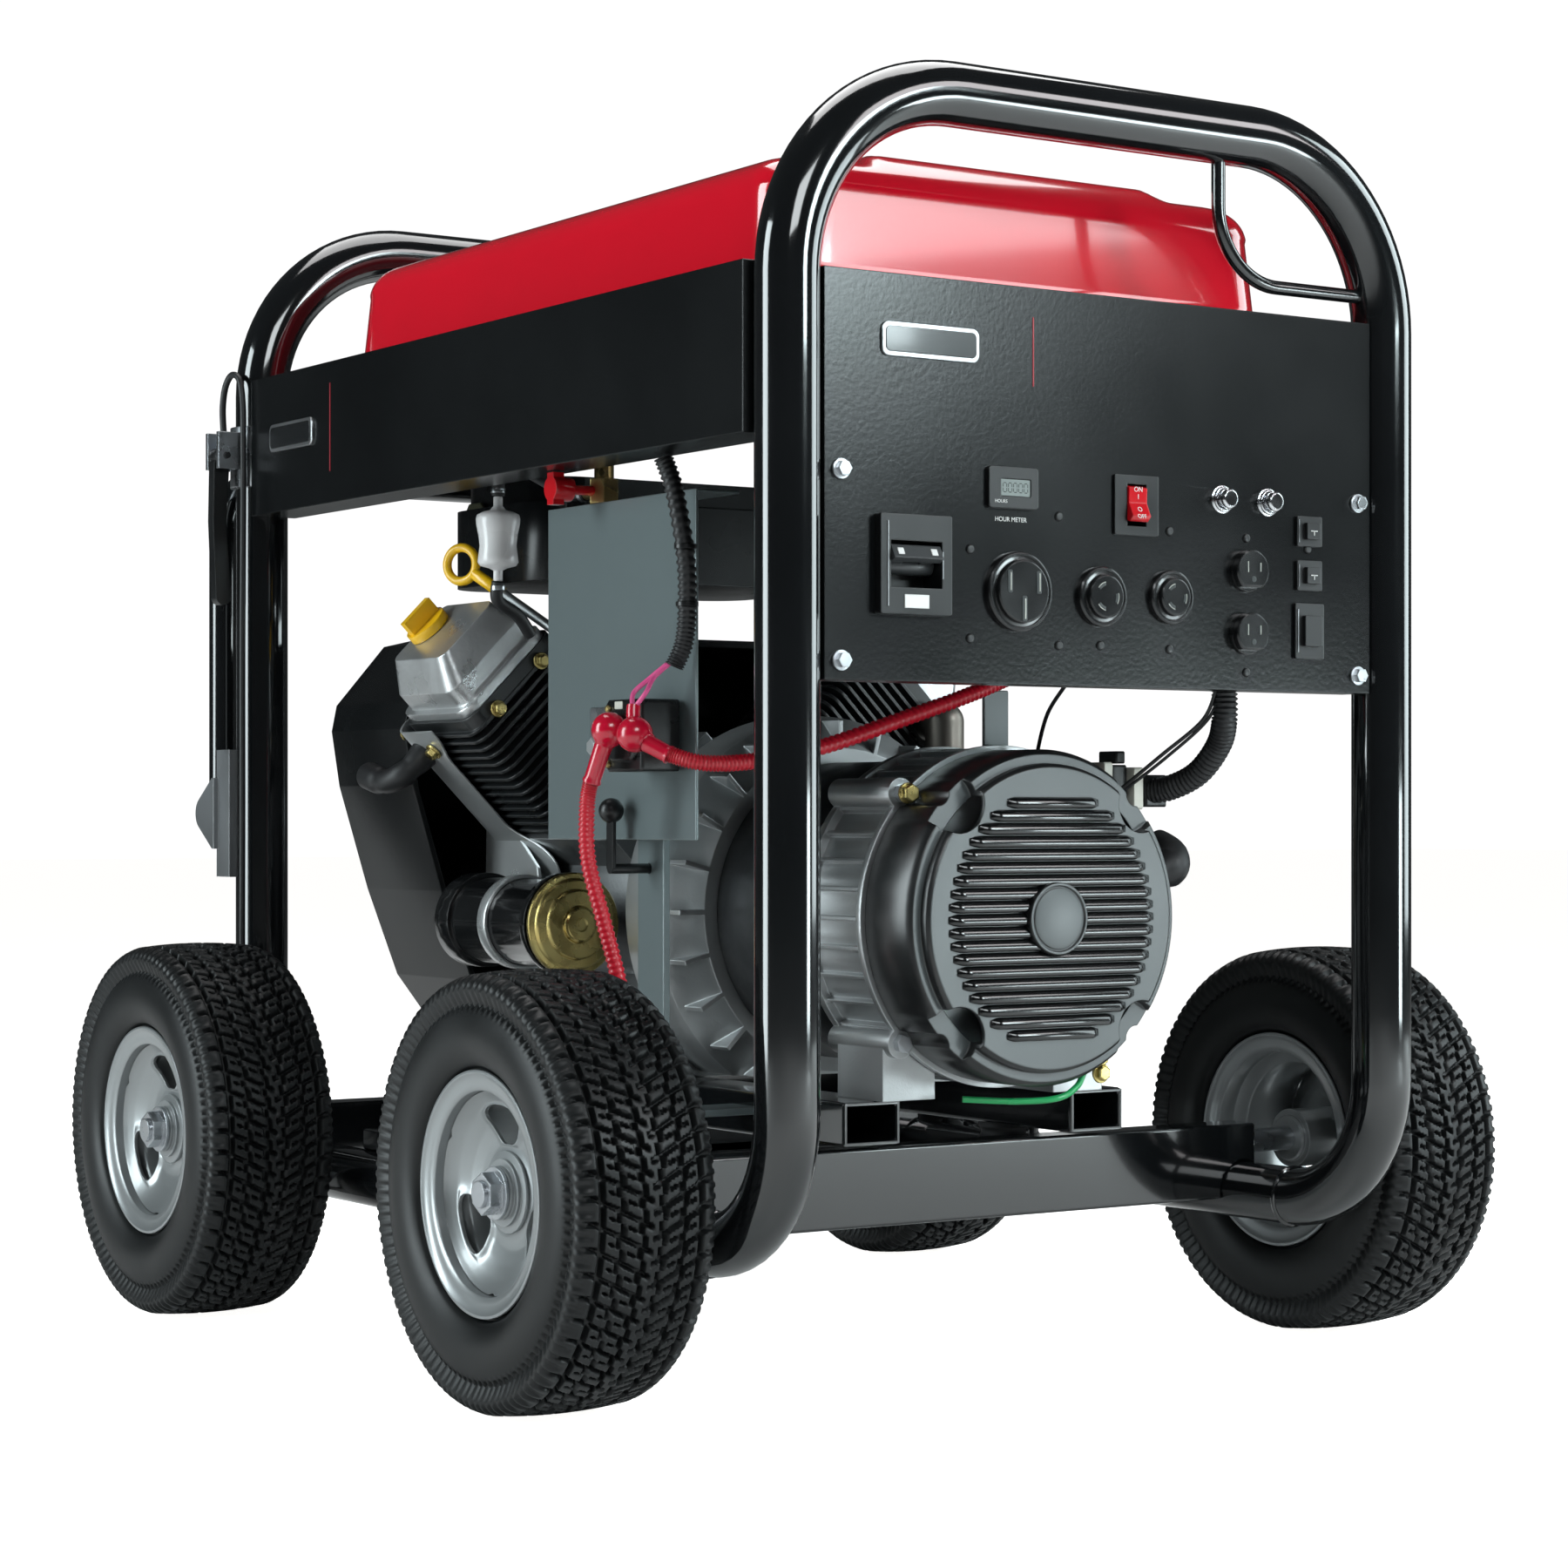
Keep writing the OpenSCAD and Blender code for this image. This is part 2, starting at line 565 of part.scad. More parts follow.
// Fuel hoses: valve to filter, filter to the engine, and the loom from the panel box to the solenoid
module hoses() on_frame() color("#1a1a1c") {
  cord([valve + [0, 28, 0], valve + [0, 60, 4], [-237, 20, 730], [-236, 66, 746], [-236, 80, 738],
    filter_at + [0, 0, 54 + side_gap]], 11, 3);
  cord([filter_at + [0, 0, -18 - side_gap], filter_at + [2, 4, -34], [-212, 92, 616], [-196, 98, 600]],
    11, 3);
  cord([[-275, -250, side_z - 2], [-271, -252, 690], [-262, -252, 640], [-261, -252, 590], [-266, -248, 560],
    [-290, -244, 536]], 15, 3);
}
battery_route = [[-282, -196, 498], [-290, -190, 480], [-293, -186, 450], [-290, -196, 400],
  [-282, -206, 350], [-276, -198, 300], [-268, -178, 262], [-250, -160, 240]];
module battery_cable() on_frame() color("#c8141c") cord(battery_route, 11, 4);

// ---- Alternator --------------------------------------------------------------------------------

// Pieces round the crankshaft are drawn along Y from a front face
module on_shaft(y) translate([0, y, crank_z]) rotate([-90, 0, 0]) children();
through_r = bell_d / 2 + 4;
// Pressed cover: a band over the end bell, a lobed front plate with its louvres and a scallop cut
// at each of the four through bolts
band_front = cover_front + 9;
louvre = 10;
module alternator_cover() on_frame() color("#17181a") difference() {
  union() {
    on_shaft(cover_front) cylinder(d1 = cover_d - 6, d2 = cover_d, h = 3);
    on_shaft(cover_front + 3) cylinder(d = cover_d, h = 20);
    on_shaft(band_front) cylinder(d1 = band_d - 8, d2 = band_d, h = 6);
    on_shaft(band_front + 6) cylinder(d = band_d, h = cover_back - band_front - 6);
  }
  on_shaft(cover_front + 5) cylinder(d = cover_d - 10, h = 80);
  for (a = [45:90:315]) {
    on_shaft(cover_front - 1) rotate([0, 0, a]) translate([cover_d / 2 + 6, 0, 0]) cylinder(d = 46, h = 18);
    on_shaft(cover_front - 1) rotate([0, 0, a]) translate([through_r, 0, 0]) cylinder(d = 20, h = 80);
  }
  for (i = [-9:9]) let (w = 2 * sqrt(pow(cover_d / 2 - 20, 2) - pow(i * louvre, 2)))
    on_shaft(cover_front - 1) translate([-w / 2, i * louvre - 2, 0]) cube([w, 4, 4]);
}
module end_bell() on_frame() color("#a7a9ab") difference() {
  union() {
    on_shaft(cover_back) cylinder(d = bell_d - 10, h = bell_back - cover_back);
    on_shaft(cover_back) cylinder(d = bell_d + 4, h = 6);
    on_shaft(bell_back - 8) cylinder(d = bell_d + 4, h = 8);
    on_shaft(cover_back) for (a = [0:10:350]) rotate([0, 0, a])
      translate([bell_d / 2 - 8, -1.5, 0]) cube([8, 3, bell_back - cover_back]);
    on_shaft(cover_back) for (a = [45:90:315]) rotate([0, 0, a])
      translate([through_r, 0, 0]) cylinder(d = 24, h = bell_back - cover_back);
    each_side() block(84, cover_back + 8, foot_z, 50, 62, 44);
  }
  on_shaft(cover_back - 1) cylinder(d = bell_d - 26, h = 70);
  on_shaft(cover_back - 1) cylinder(d = 60, h = 120);
}
stator_d = 250;
module stator() on_frame() color("#2c2d30") difference() {
  on_shaft(bell_back) cylinder(d = stator_d, h = stator_back - bell_back);
  on_shaft(bell_back - 1) cylinder(d = 172, h = stator_back - bell_back + 2);
}
module adapter_bell() on_frame() color("#a7a9ab") on_shaft(stator_back) difference() {
  union() {
    cylinder(d1 = stator_d + 24, d2 = adapter_d, h = 30);
    translate([0, 0, 30]) cylinder(d = adapter_d, h = adapter_back - stator_back - 30);
    for (a = [0:15:345]) rotate([0, 0, a]) translate([stator_d / 2 - 4, -2, 0])
      cube([(adapter_d - stator_d) / 2, 4, adapter_back - stator_back]);
  }
  translate([0, 0, 8]) cylinder(d = stator_d - 10, h = 90);
  translate([0, 0, -1]) cylinder(d = 176, h = 20);
  translate([-adapter_d / 2, adapter_d / 2 - 26, -1]) cube([adapter_d, 40, 100]);
}
rotor_d = 168;
module rotor() on_frame() color("#8c6f4a") {
  on_shaft(bell_back + 4) cylinder(d = rotor_d, h = stator_back - bell_back - 8);
  on_shaft(cover_back - 20) cylinder(d = shaft_d, h = adapter_back - cover_back + 12);
  on_shaft(stator_back + 14) difference() {
    cylinder(d = stator_d - 20, h = 34);
    for (a = [0:30:330]) rotate([0, 0, a]) translate([70, -3, 6]) cube([80, 6, 40]);
  }
}

// ---- Engine ------------------------------------------------------------------------------------

cyl_y = [184, 140];
block_h = 150;
block_w = 132;
module crankcase() on_frame() color("#8d8f92") difference() {
  union() {
    block(0, adapter_back, foot_z, 252, case_back - adapter_back, 86);
    on_shaft(adapter_back) cylinder(d = 268, h = case_back - adapter_back);
    for (s = [0, 1]) mirror([s, 0, 0]) translate([0, cyl_y[s], crank_z]) rotate([0, -45, 0])
      translate([-block_w / 2, -cyl_y[s] + adapter_back + 40, 0]) cube([block_w, 190, block_h]);
    translate(tube_foot) cylinder(d = 9, h = tube_knee.z - tube_foot.z);
    translate(tube_knee) sphere(d = 13);
    translate(stick_at) along(-stick_dir) cylinder(d = 9, h = tube_l);
  }
  on_shaft(adapter_back - 1) cylinder(d = shaft_d + 22, h = case_back - adapter_back + 2);
  on_shaft(adapter_back - 1) cylinder(d = 226, h = 12);
  translate(stick_at) along(-stick_dir) translate([0, 0, -1]) cylinder(d = 4.4, h = tube_l - 4);
}
// A pair of finned cylinders with their heads, 45 degrees either side of upright
module bank(s) mirror([s, 0, 0]) translate([0, cyl_y[s], crank_z]) rotate([0, -45, 0]) children();
head_top = cylinder_reach - 52;
module cylinders() on_frame() color("#77797c") for (s = [0, 1]) bank(s) {
  translate([0, 0, block_h]) cylinder(d = 100, h = head_top - block_h);
  translate([0, 0, block_h]) for (i = [0:floor((head_top - block_h - 12) / fin_pitch)])
    translate([0, 0, 4 + i * fin_pitch]) linear_extrude(3) plate(fin_w, fin_w, 14);
  translate([0, 0, head_top - 12]) linear_extrude(12) plate(fin_w - 8, fin_w - 2, 14);
}
module rocker_covers() on_frame() color("#b4b6b8") for (s = [0, 1]) bank(s) translate([0, 0, head_top]) {
  linear_extrude(8) plate(fin_w - 14, fin_w - 4, 16);
  hull() {
    translate([0, 0, 8]) linear_extrude(18) plate(fin_w - 26, fin_w - 16, 14, $fn = 32);
    translate([4, 0, 51]) linear_extrude(1) plate(fin_w - 52, fin_w - 30, 10, $fn = 32);
  }
}
oil_cap_at = [8, 27];
module oil_cap() on_frame() color("#e8a400") bank(0)
  translate([oil_cap_at.x, oil_cap_at.y, cylinder_reach + side_gap]) {
    cylinder(d = 40, h = 8);
    translate([-17, -4, 8]) cube([34, 8, 14]);
  }
// Sheet-metal blower housing behind the engine, with a shoulder over each cylinder
ear = [[142, -107], [171, -69], [202, 12], [231, 107], [239, 158], [234, 182], [185, 238], [150, 246]];
module blower_outline() polygon([
  for (p = ear) [p.x, p.y],
  for (i = [len(ear) - 1:-1:0]) [-ear[i].x, ear[i].y],
  for (a = [215:10:325]) [148 * cos(a), 148 * sin(a)]]);
module blower_housing() on_frame() color("#17181a") difference() {
  translate([0, blower_back, crank_z]) rotate([90, 0, 0]) linear_extrude(blower_back - case_back - side_gap)
    blower_outline();
  on_shaft(case_back + 12) cylinder(d = 262, h = 140);
  on_shaft(case_back - 1) cylinder(d = shaft_d + 22, h = 60);
  translate([0, blower_back - 16, crank_z]) rotate([90, 0, 0]) linear_extrude(blower_back - case_back)
    difference() {
      scale(0.97) blower_outline();
      circle(d = 276);
    }
}
flywheel_d = 250;
// Flywheel with its fan blades, and the drilled screen that turns with it
module flywheel() on_frame() color("#2a2b2e") {
  on_shaft(adapter_back + 6) cylinder(d = shaft_d, h = case_back - adapter_back + 20);
  on_shaft(case_back + 24) cylinder(d = flywheel_d, h = 34);
  on_shaft(case_back + 58) for (a = [0:20:340]) rotate([0, 0, a]) translate([60, -2, 0]) cube([62, 4, 68]);
  on_shaft(case_back + 58) cylinder(d = 60, h = 70);
  on_shaft(case_back + 126) difference() {
    cylinder(d = flywheel_d, h = 4);
    for (a = [0:15:345], r = [44:14:114]) rotate([0, 0, a + r]) translate([r, 0, -1]) cylinder(d = 7, h = 6);
  }
}
module air_cleaner() on_frame() color("#161719") {
  valley = crank_z + (block_h + block_w / 2) / sqrt(2) + side_gap;
  translate([-20, 205, 650]) linear_extrude(70) plate(310, 190, 40);
  translate([-20, 205, 720]) linear_extrude(22) plate(290, 170, 36);
  translate([-20, 205, 742]) cylinder(d = 34, h = 6, $fn = 6);
  translate([-20, 190, valley]) cylinder(d = 70, h = 650 - valley);
}
muffler_at = [216, -40, 420];
outlet_d = 38;
header_y = 56;
module muffler() on_frame() color("#5d5a57") difference() {
  union() {
    translate([muffler_at.x, muffler_at.y - 110, muffler_at.z]) rotate([-90, 0, 0]) linear_extrude(220)
      plate(86, 130, 40);
    rod_y(muffler_at.x + 10, muffler_at.y - 150, muffler_at.z - 20, outlet_d + 4, 44);
    translate([muffler_at.x, header_y, muffler_at.z + 50]) cylinder(d = 36, h = 60);
    translate([muffler_at.x, header_y, muffler_at.z + 110]) sphere(d = 36);
    rod_y(muffler_at.x, header_y, muffler_at.z + 110, 36, cyl_y[1] - fin_w / 2 - header_y);
  }
  rod_y(muffler_at.x + 10, muffler_at.y - 151, muffler_at.z - 20, outlet_d, 70);
}

starter_at = [-196, 40, 352];
module starter() on_frame() color("#1a1b1d") difference() {
  union() {
    rod_y(starter_at.x, starter_at.y, starter_at.z, starter_d, 132);
    rod_y(starter_at.x, starter_at.y - 8, starter_at.z, starter_d + 12, 8);
    rod_y(starter_at.x, starter_at.y - 14, starter_at.z, 34, 6);
    rod_y(starter_at.x, starter_at.y + 132, starter_at.z, starter_d + 8, 24);
    translate([starter_at.x, starter_at.y + 132, starter_at.z - 20]) cube([80, 20, 40]);
  }
  on_shaft(0) cylinder(d = 268 + 2 * side_gap, h = 300);
}

plate_x = -250;
plate_y = [-257, -30];
plate_z = [425, 693];
module shield_plate() on_frame() color("#8b9092") difference() {
  l = plate_y[1] - plate_y[0];
  h = plate_z[1] - plate_z[0];
  leg_z = foot_z - skid_h / 2;
  union() {
    translate([plate_x, plate_y[0], plate_z[0]]) cube([sheet_t, l, h]);
    translate([plate_x, plate_y[1], plate_z[0]]) cube([26, sheet_t, h]);
    translate([plate_x, plate_y[0], plate_z[1]]) cube([40, l + sheet_t, sheet_t]);
    translate([plate_x + 20, plate_y[0] + 80, leg_z]) cube([6, 40, plate_z[0] - leg_z + 40]);
    translate([plate_x + sheet_t, plate_y[0] + 80, plate_z[0] + 20]) cube([19, 40, 20]);
    translate([plate_x + 20, plate_y[0] + 80, leg_z]) cube([-plate_x - 20 - skid_x - skid_w / 2, 40, 6]);
  }
  rod_x(plate_x, lever_at.y, lever_at.z, 8 + 2 * run_gap, 40);
}
sol_y = [-240, -146];
sol_z = [478, 534];
module solenoid() on_frame() color("#151618") {
  translate([plate_x - 44, sol_y[0], sol_z[0]]) cube([40, sol_y[1] - sol_y[0], sol_z[1] - sol_z[0]]);
  translate([plate_x - 4, sol_y[0] + 20, sol_z[0] + 6]) cube([4, sol_y[1] - sol_y[0] + 10, 44]);
  for (b = [[-184, 512], [-222, 508]]) {
    rod_x(plate_x - 58, b[0], b[1], 22, 20);
    translate([plate_x - 58, b[0], b[1]]) sphere(d = 24);
  }
}
lever_at = [-262, -154, 402];
module choke_lever() on_frame() color("#141416") translate(lever_at) {
  rod_x(-4, 0, 0, 8, 46);
  translate([-4, -5, 0]) cube([3, 10, 40]);
  translate([-2.5, 0, 46]) sphere(d = 20);
}
// The dipstick stands in a bent tube that rises from the crankcase
stick_at = [-185, 168, 640];
stick_dir = unit([-0.42, 0.74, 0.54]);
tube_l = 132;
tube_knee = stick_at - tube_l * stick_dir;
tube_foot = [tube_knee.x, tube_knee.y, crank_z + 66];
module along(v) rotate([0, acos(v.z), atan2(v.y, v.x)]) children();
module dipstick() on_frame() color("#e8a400") translate(stick_at) along(stick_dir) {
  translate([0, 0, -118]) cylinder(d = 4, h = 124);
  translate([0, 0, 0.5]) cylinder(d = 11, h = 34);
  translate([0, 0, 50]) rotate([90, 0, 0]) rotate_extrude() translate([15, 0]) circle(4);
}

// ---- Fasteners ---------------------------------------------------------------------------------

module flange_screw() {
  cylinder(d = 15, h = 2);
  cylinder(d = 11.5, h = 7, $fn = 6);
  translate([0, 0, -10]) cylinder(d = 6, h = 12);
}
module fasteners() on_frame() color("#c2b280") {
  for (x = [-screw_x, screw_x], z = screw_z) on_panel(x, z) flange_screw();
  for (a = [45:90:315]) on_shaft(cover_back) rotate([0, 0, a]) translate([through_r, 0, -6])
    cylinder(d = 15, h = 6, $fn = 6);
  each_side() for (z = [-44, 44], x = [-14, 14])
    translate([bracket_x + x, post_y + tube_r + 4, pivot_z + z]) rotate([-90, 0, 0])
      cylinder(d = 13, h = 6, $fn = 6);
  for (y = [front_axle_y, rear_axle_y]) each_side() axle_nut(y);
}
module axle_nut(y) translate([wheel_x + hub_l / 2 + side_gap, y, axle_z]) rotate([0, 90, 0]) difference() {
  union() {
    cylinder(d = 40, h = 2.5);
    translate([0, 0, 2.5]) cylinder(d = 32, h = 10, $fn = 6);
  }
  translate([0, 0, -1]) cylinder(d = axle_d, h = 20);
}

front_hoop();
rear_hoop();
side_rails();
front_axle_beam();
rear_axle_beam();
cross_members();
engine_skids();
isolators();
axles();
tyre_fl();
tyre_fr();
tyre_rl();
tyre_rr();
rim_fl();
rim_fr();
rim_rl();
rim_rr();
hook_rod();
tow_handle();
handle_brackets();
brake_perch();
brake_lever();
brake_cable();
fasteners();
control_panel();
panel_box();
side_panels();
panel_bezels();
power_rocker();
button_collars();
reset_button_a();
reset_button_b();
breakers();
breaker_handle();
outlets();
tank();
fuel_cap();
fuel_valve();
fuel_knob();
fuel_filter();
hoses();
battery_cable();
alternator_cover();
end_bell();
stator();
adapter_bell();
rotor();
flywheel();
crankcase();
cylinders();
rocker_covers();
blower_housing();
air_cleaner();
muffler();
starter();
solenoid();
shield_plate();
choke_lever();
dipstick();
oil_cap();
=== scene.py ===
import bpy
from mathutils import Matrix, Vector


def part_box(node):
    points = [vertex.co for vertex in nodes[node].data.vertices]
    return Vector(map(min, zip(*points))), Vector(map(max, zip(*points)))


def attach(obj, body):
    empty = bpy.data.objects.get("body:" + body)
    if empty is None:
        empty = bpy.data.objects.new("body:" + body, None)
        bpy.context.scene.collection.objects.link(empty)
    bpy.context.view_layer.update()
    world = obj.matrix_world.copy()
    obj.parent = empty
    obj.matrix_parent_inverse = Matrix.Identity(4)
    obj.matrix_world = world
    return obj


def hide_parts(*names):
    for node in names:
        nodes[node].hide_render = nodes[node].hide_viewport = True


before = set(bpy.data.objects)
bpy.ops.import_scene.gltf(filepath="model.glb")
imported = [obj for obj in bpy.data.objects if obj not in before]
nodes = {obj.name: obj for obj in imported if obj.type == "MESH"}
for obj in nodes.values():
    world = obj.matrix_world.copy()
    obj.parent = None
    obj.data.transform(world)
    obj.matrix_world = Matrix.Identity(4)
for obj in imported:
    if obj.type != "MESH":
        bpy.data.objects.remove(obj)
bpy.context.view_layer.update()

import math
import bmesh
import bpy
import numpy as np
from mathutils import Matrix, Vector

scene = bpy.context.scene

# --- Studio ---------------------------------------------------------------------------------------
# A long lens a little under waist height looks level at the corner between the control panel and
# the side, on a pale floor, under one overhead bank, two upright strip boxes and a soft front box.

scene.view_settings.view_transform = "Standard"
VIEW = Vector((0.553, 0.833, 0.0)).normalized()
camera_data = bpy.data.cameras.new("camera")
camera_data.lens = 78.5
camera_data.sensor_width = 36.0
camera_data.shift_y = 0.0194
camera_data.clip_end = 60.0
camera = bpy.data.objects.new("camera", camera_data)
camera.location = (-1.646, -2.512, 0.445)
camera.rotation_euler = VIEW.to_track_quat("-Z", "Y").to_euler()
scene.collection.objects.link(camera)
scene.camera = camera

floor_mesh = bpy.data.meshes.new("studio_floor")
floor_mesh.from_pydata([(-30, -30, 0), (30, -30, 0), (30, 30, 0), (-30, 30, 0)], [], [(0, 1, 2, 3)])
floor = bpy.data.objects.new("studio_floor", floor_mesh)
scene.collection.objects.link(floor)
paper = bpy.data.materials.new("seamless_paper")
paper.use_nodes = True
sheet = paper.node_tree
cover = sheet.nodes["Principled BSDF"]
cover.inputs["Base Color"].default_value = (0.92, 0.915, 0.905, 1)
cover.inputs["Roughness"].default_value = 0.9
cover.inputs["Specular IOR Level"].default_value = 0.1
glow = sheet.nodes.new("ShaderNodeEmission")
glow.inputs["Color"].default_value = (1.0, 0.99, 0.975, 1)
glow.inputs["Strength"].default_value = 0.975
ray = sheet.nodes.new("ShaderNodeLightPath")
dark = sheet.nodes.new("ShaderNodeEmission")
dark.inputs["Strength"].default_value = 0.0
only_seen = sheet.nodes.new("ShaderNodeMixShader")
both = sheet.nodes.new("ShaderNodeAddShader")
sheet.links.new(ray.outputs["Is Camera Ray"], only_seen.inputs["Fac"])
sheet.links.new(dark.outputs[0], only_seen.inputs[1])
sheet.links.new(glow.outputs[0], only_seen.inputs[2])
sheet.links.new(cover.outputs[0], both.inputs[0])
sheet.links.new(only_seen.outputs[0], both.inputs[1])
sheet.links.new(both.outputs[0], sheet.nodes["Material Output"].inputs["Surface"])
floor_mesh.materials.append(paper)

world = bpy.data.worlds.new("studio_air")
world.use_nodes = True
scene.world = world
air = world.node_tree
for old in list(air.nodes):
    air.nodes.remove(old)
seen = air.nodes.new("ShaderNodeBackground")
seen.inputs["Color"].default_value = (1.0, 1.0, 1.0, 1)
seen.inputs["Strength"].default_value = 1.05
lit = air.nodes.new("ShaderNodeBackground")
lit.inputs["Color"].default_value = (0.86, 0.93, 0.95, 1)
lit.inputs["Strength"].default_value = 0.035
which = air.nodes.new("ShaderNodeLightPath")
mix = air.nodes.new("ShaderNodeMixShader")
sky = air.nodes.new("ShaderNodeOutputWorld")
air.links.new(which.outputs["Is Camera Ray"], mix.inputs["Fac"])
air.links.new(lit.outputs[0], mix.inputs[1])
air.links.new(seen.outputs[0], mix.inputs[2])
air.links.new(mix.outputs[0], sky.inputs["Surface"])


def softbox(name, place, aim, width, height, power, tint=(1, 1, 1)):
    """A flat rectangular light at place that faces the point aim."""
    data = bpy.data.lights.new(name, "AREA")
    data.shape = "RECTANGLE"
    data.size, data.size_y = width, height
    data.energy, data.color = power, tint
    lamp = bpy.data.objects.new(name, data)
    lamp.location = place
    lamp.rotation_euler = (Vector(aim) - Vector(place)).to_track_quat("-Z", "Y").to_euler()
    scene.collection.objects.link(lamp)


softbox("overhead_bank", (0.3, 0.4, 3.2), (0, 0, 0.4), 2.4, 1.8, 52)
softbox("left_bank", (-3.4, 1.0, 1.2), (0, 0, 0.5), 1.3, 2.6, 92, (0.86, 0.97, 1.0))
softbox("right_bank", (3.3, -1.5, 1.5), (0, 0, 0.5), 1.6, 2.6, 66, (0.84, 0.97, 1.0))
softbox("front_box", (-1.4, -3.6, 2.6), (0, 0, 0.6), 1.5, 1.2, 44, (0.92, 0.98, 1.0))
softbox("panel_card", (1.08, -2.75, 1.42), (-0.2, -0.48, 0.80), 0.60, 0.55, 24, (0.82, 0.97, 1.0))
softbox("tank_card", (1.45, -2.60, 2.05), (0.0, -0.40, 0.90), 1.5, 0.7, 20, (1.0, 0.96, 0.98))
softbox("cover_card", (1.72, -2.45, 0.30), (0.0, -0.40, 0.38), 0.6, 0.36, 11, (0.84, 0.97, 1.0))


# --- Tube frame -----------------------------------------------------------------------------------
# Two hoops of 48 mm steel tube, bent at the top corners and again at the feet, butt welded to two
# straight rails. The whole cradle is washed, powder coated black and baked to a deep gloss.


def mesh_piece(name, shape, material, stands_for=(), body="frame", crease=35):
    """A piece from a pair of points and faces, riding on a body. Seams are merged,
    faces turned outward, and edges sharper than crease degrees are kept crisp."""
    verts, faces = shape
    mesh = bpy.data.meshes.new(name)
    mesh.from_pydata(np.asarray(verts, float).tolist(), [], [list(map(int, f)) for f in faces])
    shell = bmesh.new()
    shell.from_mesh(mesh)
    bmesh.ops.remove_doubles(shell, verts=shell.verts, dist=0.000002)
    bmesh.ops.recalc_face_normals(shell, faces=shell.faces)
    shell.to_mesh(mesh)
    shell.free()
    mesh.polygons.foreach_set("use_smooth", np.ones(len(mesh.polygons), bool))
    mesh.set_sharp_from_angle(angle=math.radians(crease))
    mesh.materials.append(material)
    piece = bpy.data.objects.new(name, mesh)
    scene.collection.objects.link(piece)
    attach(piece, body)
    if stands_for:
        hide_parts(*stands_for)


def grid_faces(rows, columns, wrap_rows=False, wrap_columns=False, start=0):
    """Quads between neighbouring rows and columns of a grid of points numbered row by row."""
    i = np.arange(rows if wrap_rows else rows - 1)
    j = np.arange(columns if wrap_columns else columns - 1)
    i, j = [a.ravel() for a in np.meshgrid(i, j, indexing="ij")]
    a, b = i * columns, (i + 1) % rows * columns
    c, d = j, (j + 1) % columns
    return (np.stack([a + c, a + d, b + d, b + c], axis=1) + start).tolist()


def join(parts):
    """Several (points, faces) pairs as one pair, with the faces renumbered."""
    points, faces, count = [], [], 0
    for p, f in parts:
        points.append(np.asarray(p, float))
        faces += [[k + count for k in face] for face in f]
        count += len(p)
    return np.concatenate(points), faces


def swept(path, radius, sides=20, capped=True):
    """A round tube: at each path point, centre + r cos t * u + r sin t * v, with u and v square to
    the path and carried along it without twist. radius is one number or one for each point."""
    path = np.asarray(path, float)
    radius = np.broadcast_to(np.asarray(radius, float), len(path))
    along = np.gradient(path, axis=0)
    along /= np.linalg.norm(along, axis=1)[:, None]
    u = np.empty_like(path)
    first = np.eye(3)[np.argmin(np.abs(along[0]))]
    for k, t in enumerate(along):
        side = (first if k == 0 else u[k - 1]) - t * np.dot(first if k == 0 else u[k - 1], t)
        u[k] = side / np.linalg.norm(side)
    v = np.cross(along, u)
    t = np.linspace(0, 2 * np.pi, sides, endpoint=False)
    ring = np.cos(t)[None, :, None] * u[:, None] + np.sin(t)[None, :, None] * v[:, None]
    points = (path[:, None] + radius[:, None, None] * ring).reshape(-1, 3)
    faces = grid_faces(len(path), sides, wrap_columns=True)
    if capped:
        last = (len(path) - 1) * sides
        faces += [list(range(sides))[::-1], list(range(last, last + sides))]
    return points, faces


def arc(middle, u, v, radius, start, end, count):
    """Points middle + r cos t * u + r sin t * v for t from start to end degrees."""
    t = np.radians(np.linspace(start, end, count))[:, None]
    return np.asarray(middle) + radius * (np.cos(t) * np.asarray(u) + np.sin(t) * np.asarray(v))


def new_material(name, color, roughness, metallic=0.0, coat=0.0, specular=0.5):
    """A Principled material with its fixed numbers on its own sockets."""
    material = bpy.data.materials.new(name)
    material.use_nodes = True
    shader = material.node_tree.nodes["Principled BSDF"]
    shader.inputs["Base Color"].default_value = (*color, 1)
    shader.inputs["Roughness"].default_value = roughness
    shader.inputs["Metallic"].default_value = metallic
    shader.inputs["Coat Weight"].default_value = coat
    shader.inputs["Coat Roughness"].default_value = 0.06
    shader.inputs["Specular IOR Level"].default_value = specular
    return material, material.node_tree, shader


def group(name, inputs, outputs):
    """An empty shader node group with float or colour sockets, and its two end nodes."""
    tree = bpy.data.node_groups.new(name, "ShaderNodeTree")
    for label, kind, value in inputs:
        socket = tree.interface.new_socket(label, in_out="INPUT", socket_type=kind)
        if value is not None:
            socket.default_value = value
    for label, kind in outputs:
        tree.interface.new_socket(label, in_out="OUTPUT", socket_type=kind)
    return tree, tree.nodes.new("NodeGroupInput"), tree.nodes.new("NodeGroupOutput")


def math_node(tree, kind, *values):
    """One Math node whose inputs are numbers or sockets, as its output socket."""
    node = tree.nodes.new("ShaderNodeMath")
    node.operation = kind
    for slot_number, value in enumerate(values):
        if isinstance(value, (int, float)):
            node.inputs[slot_number].default_value = value
        else:
            tree.links.new(value, node.inputs[slot_number])
    return node.outputs[0]


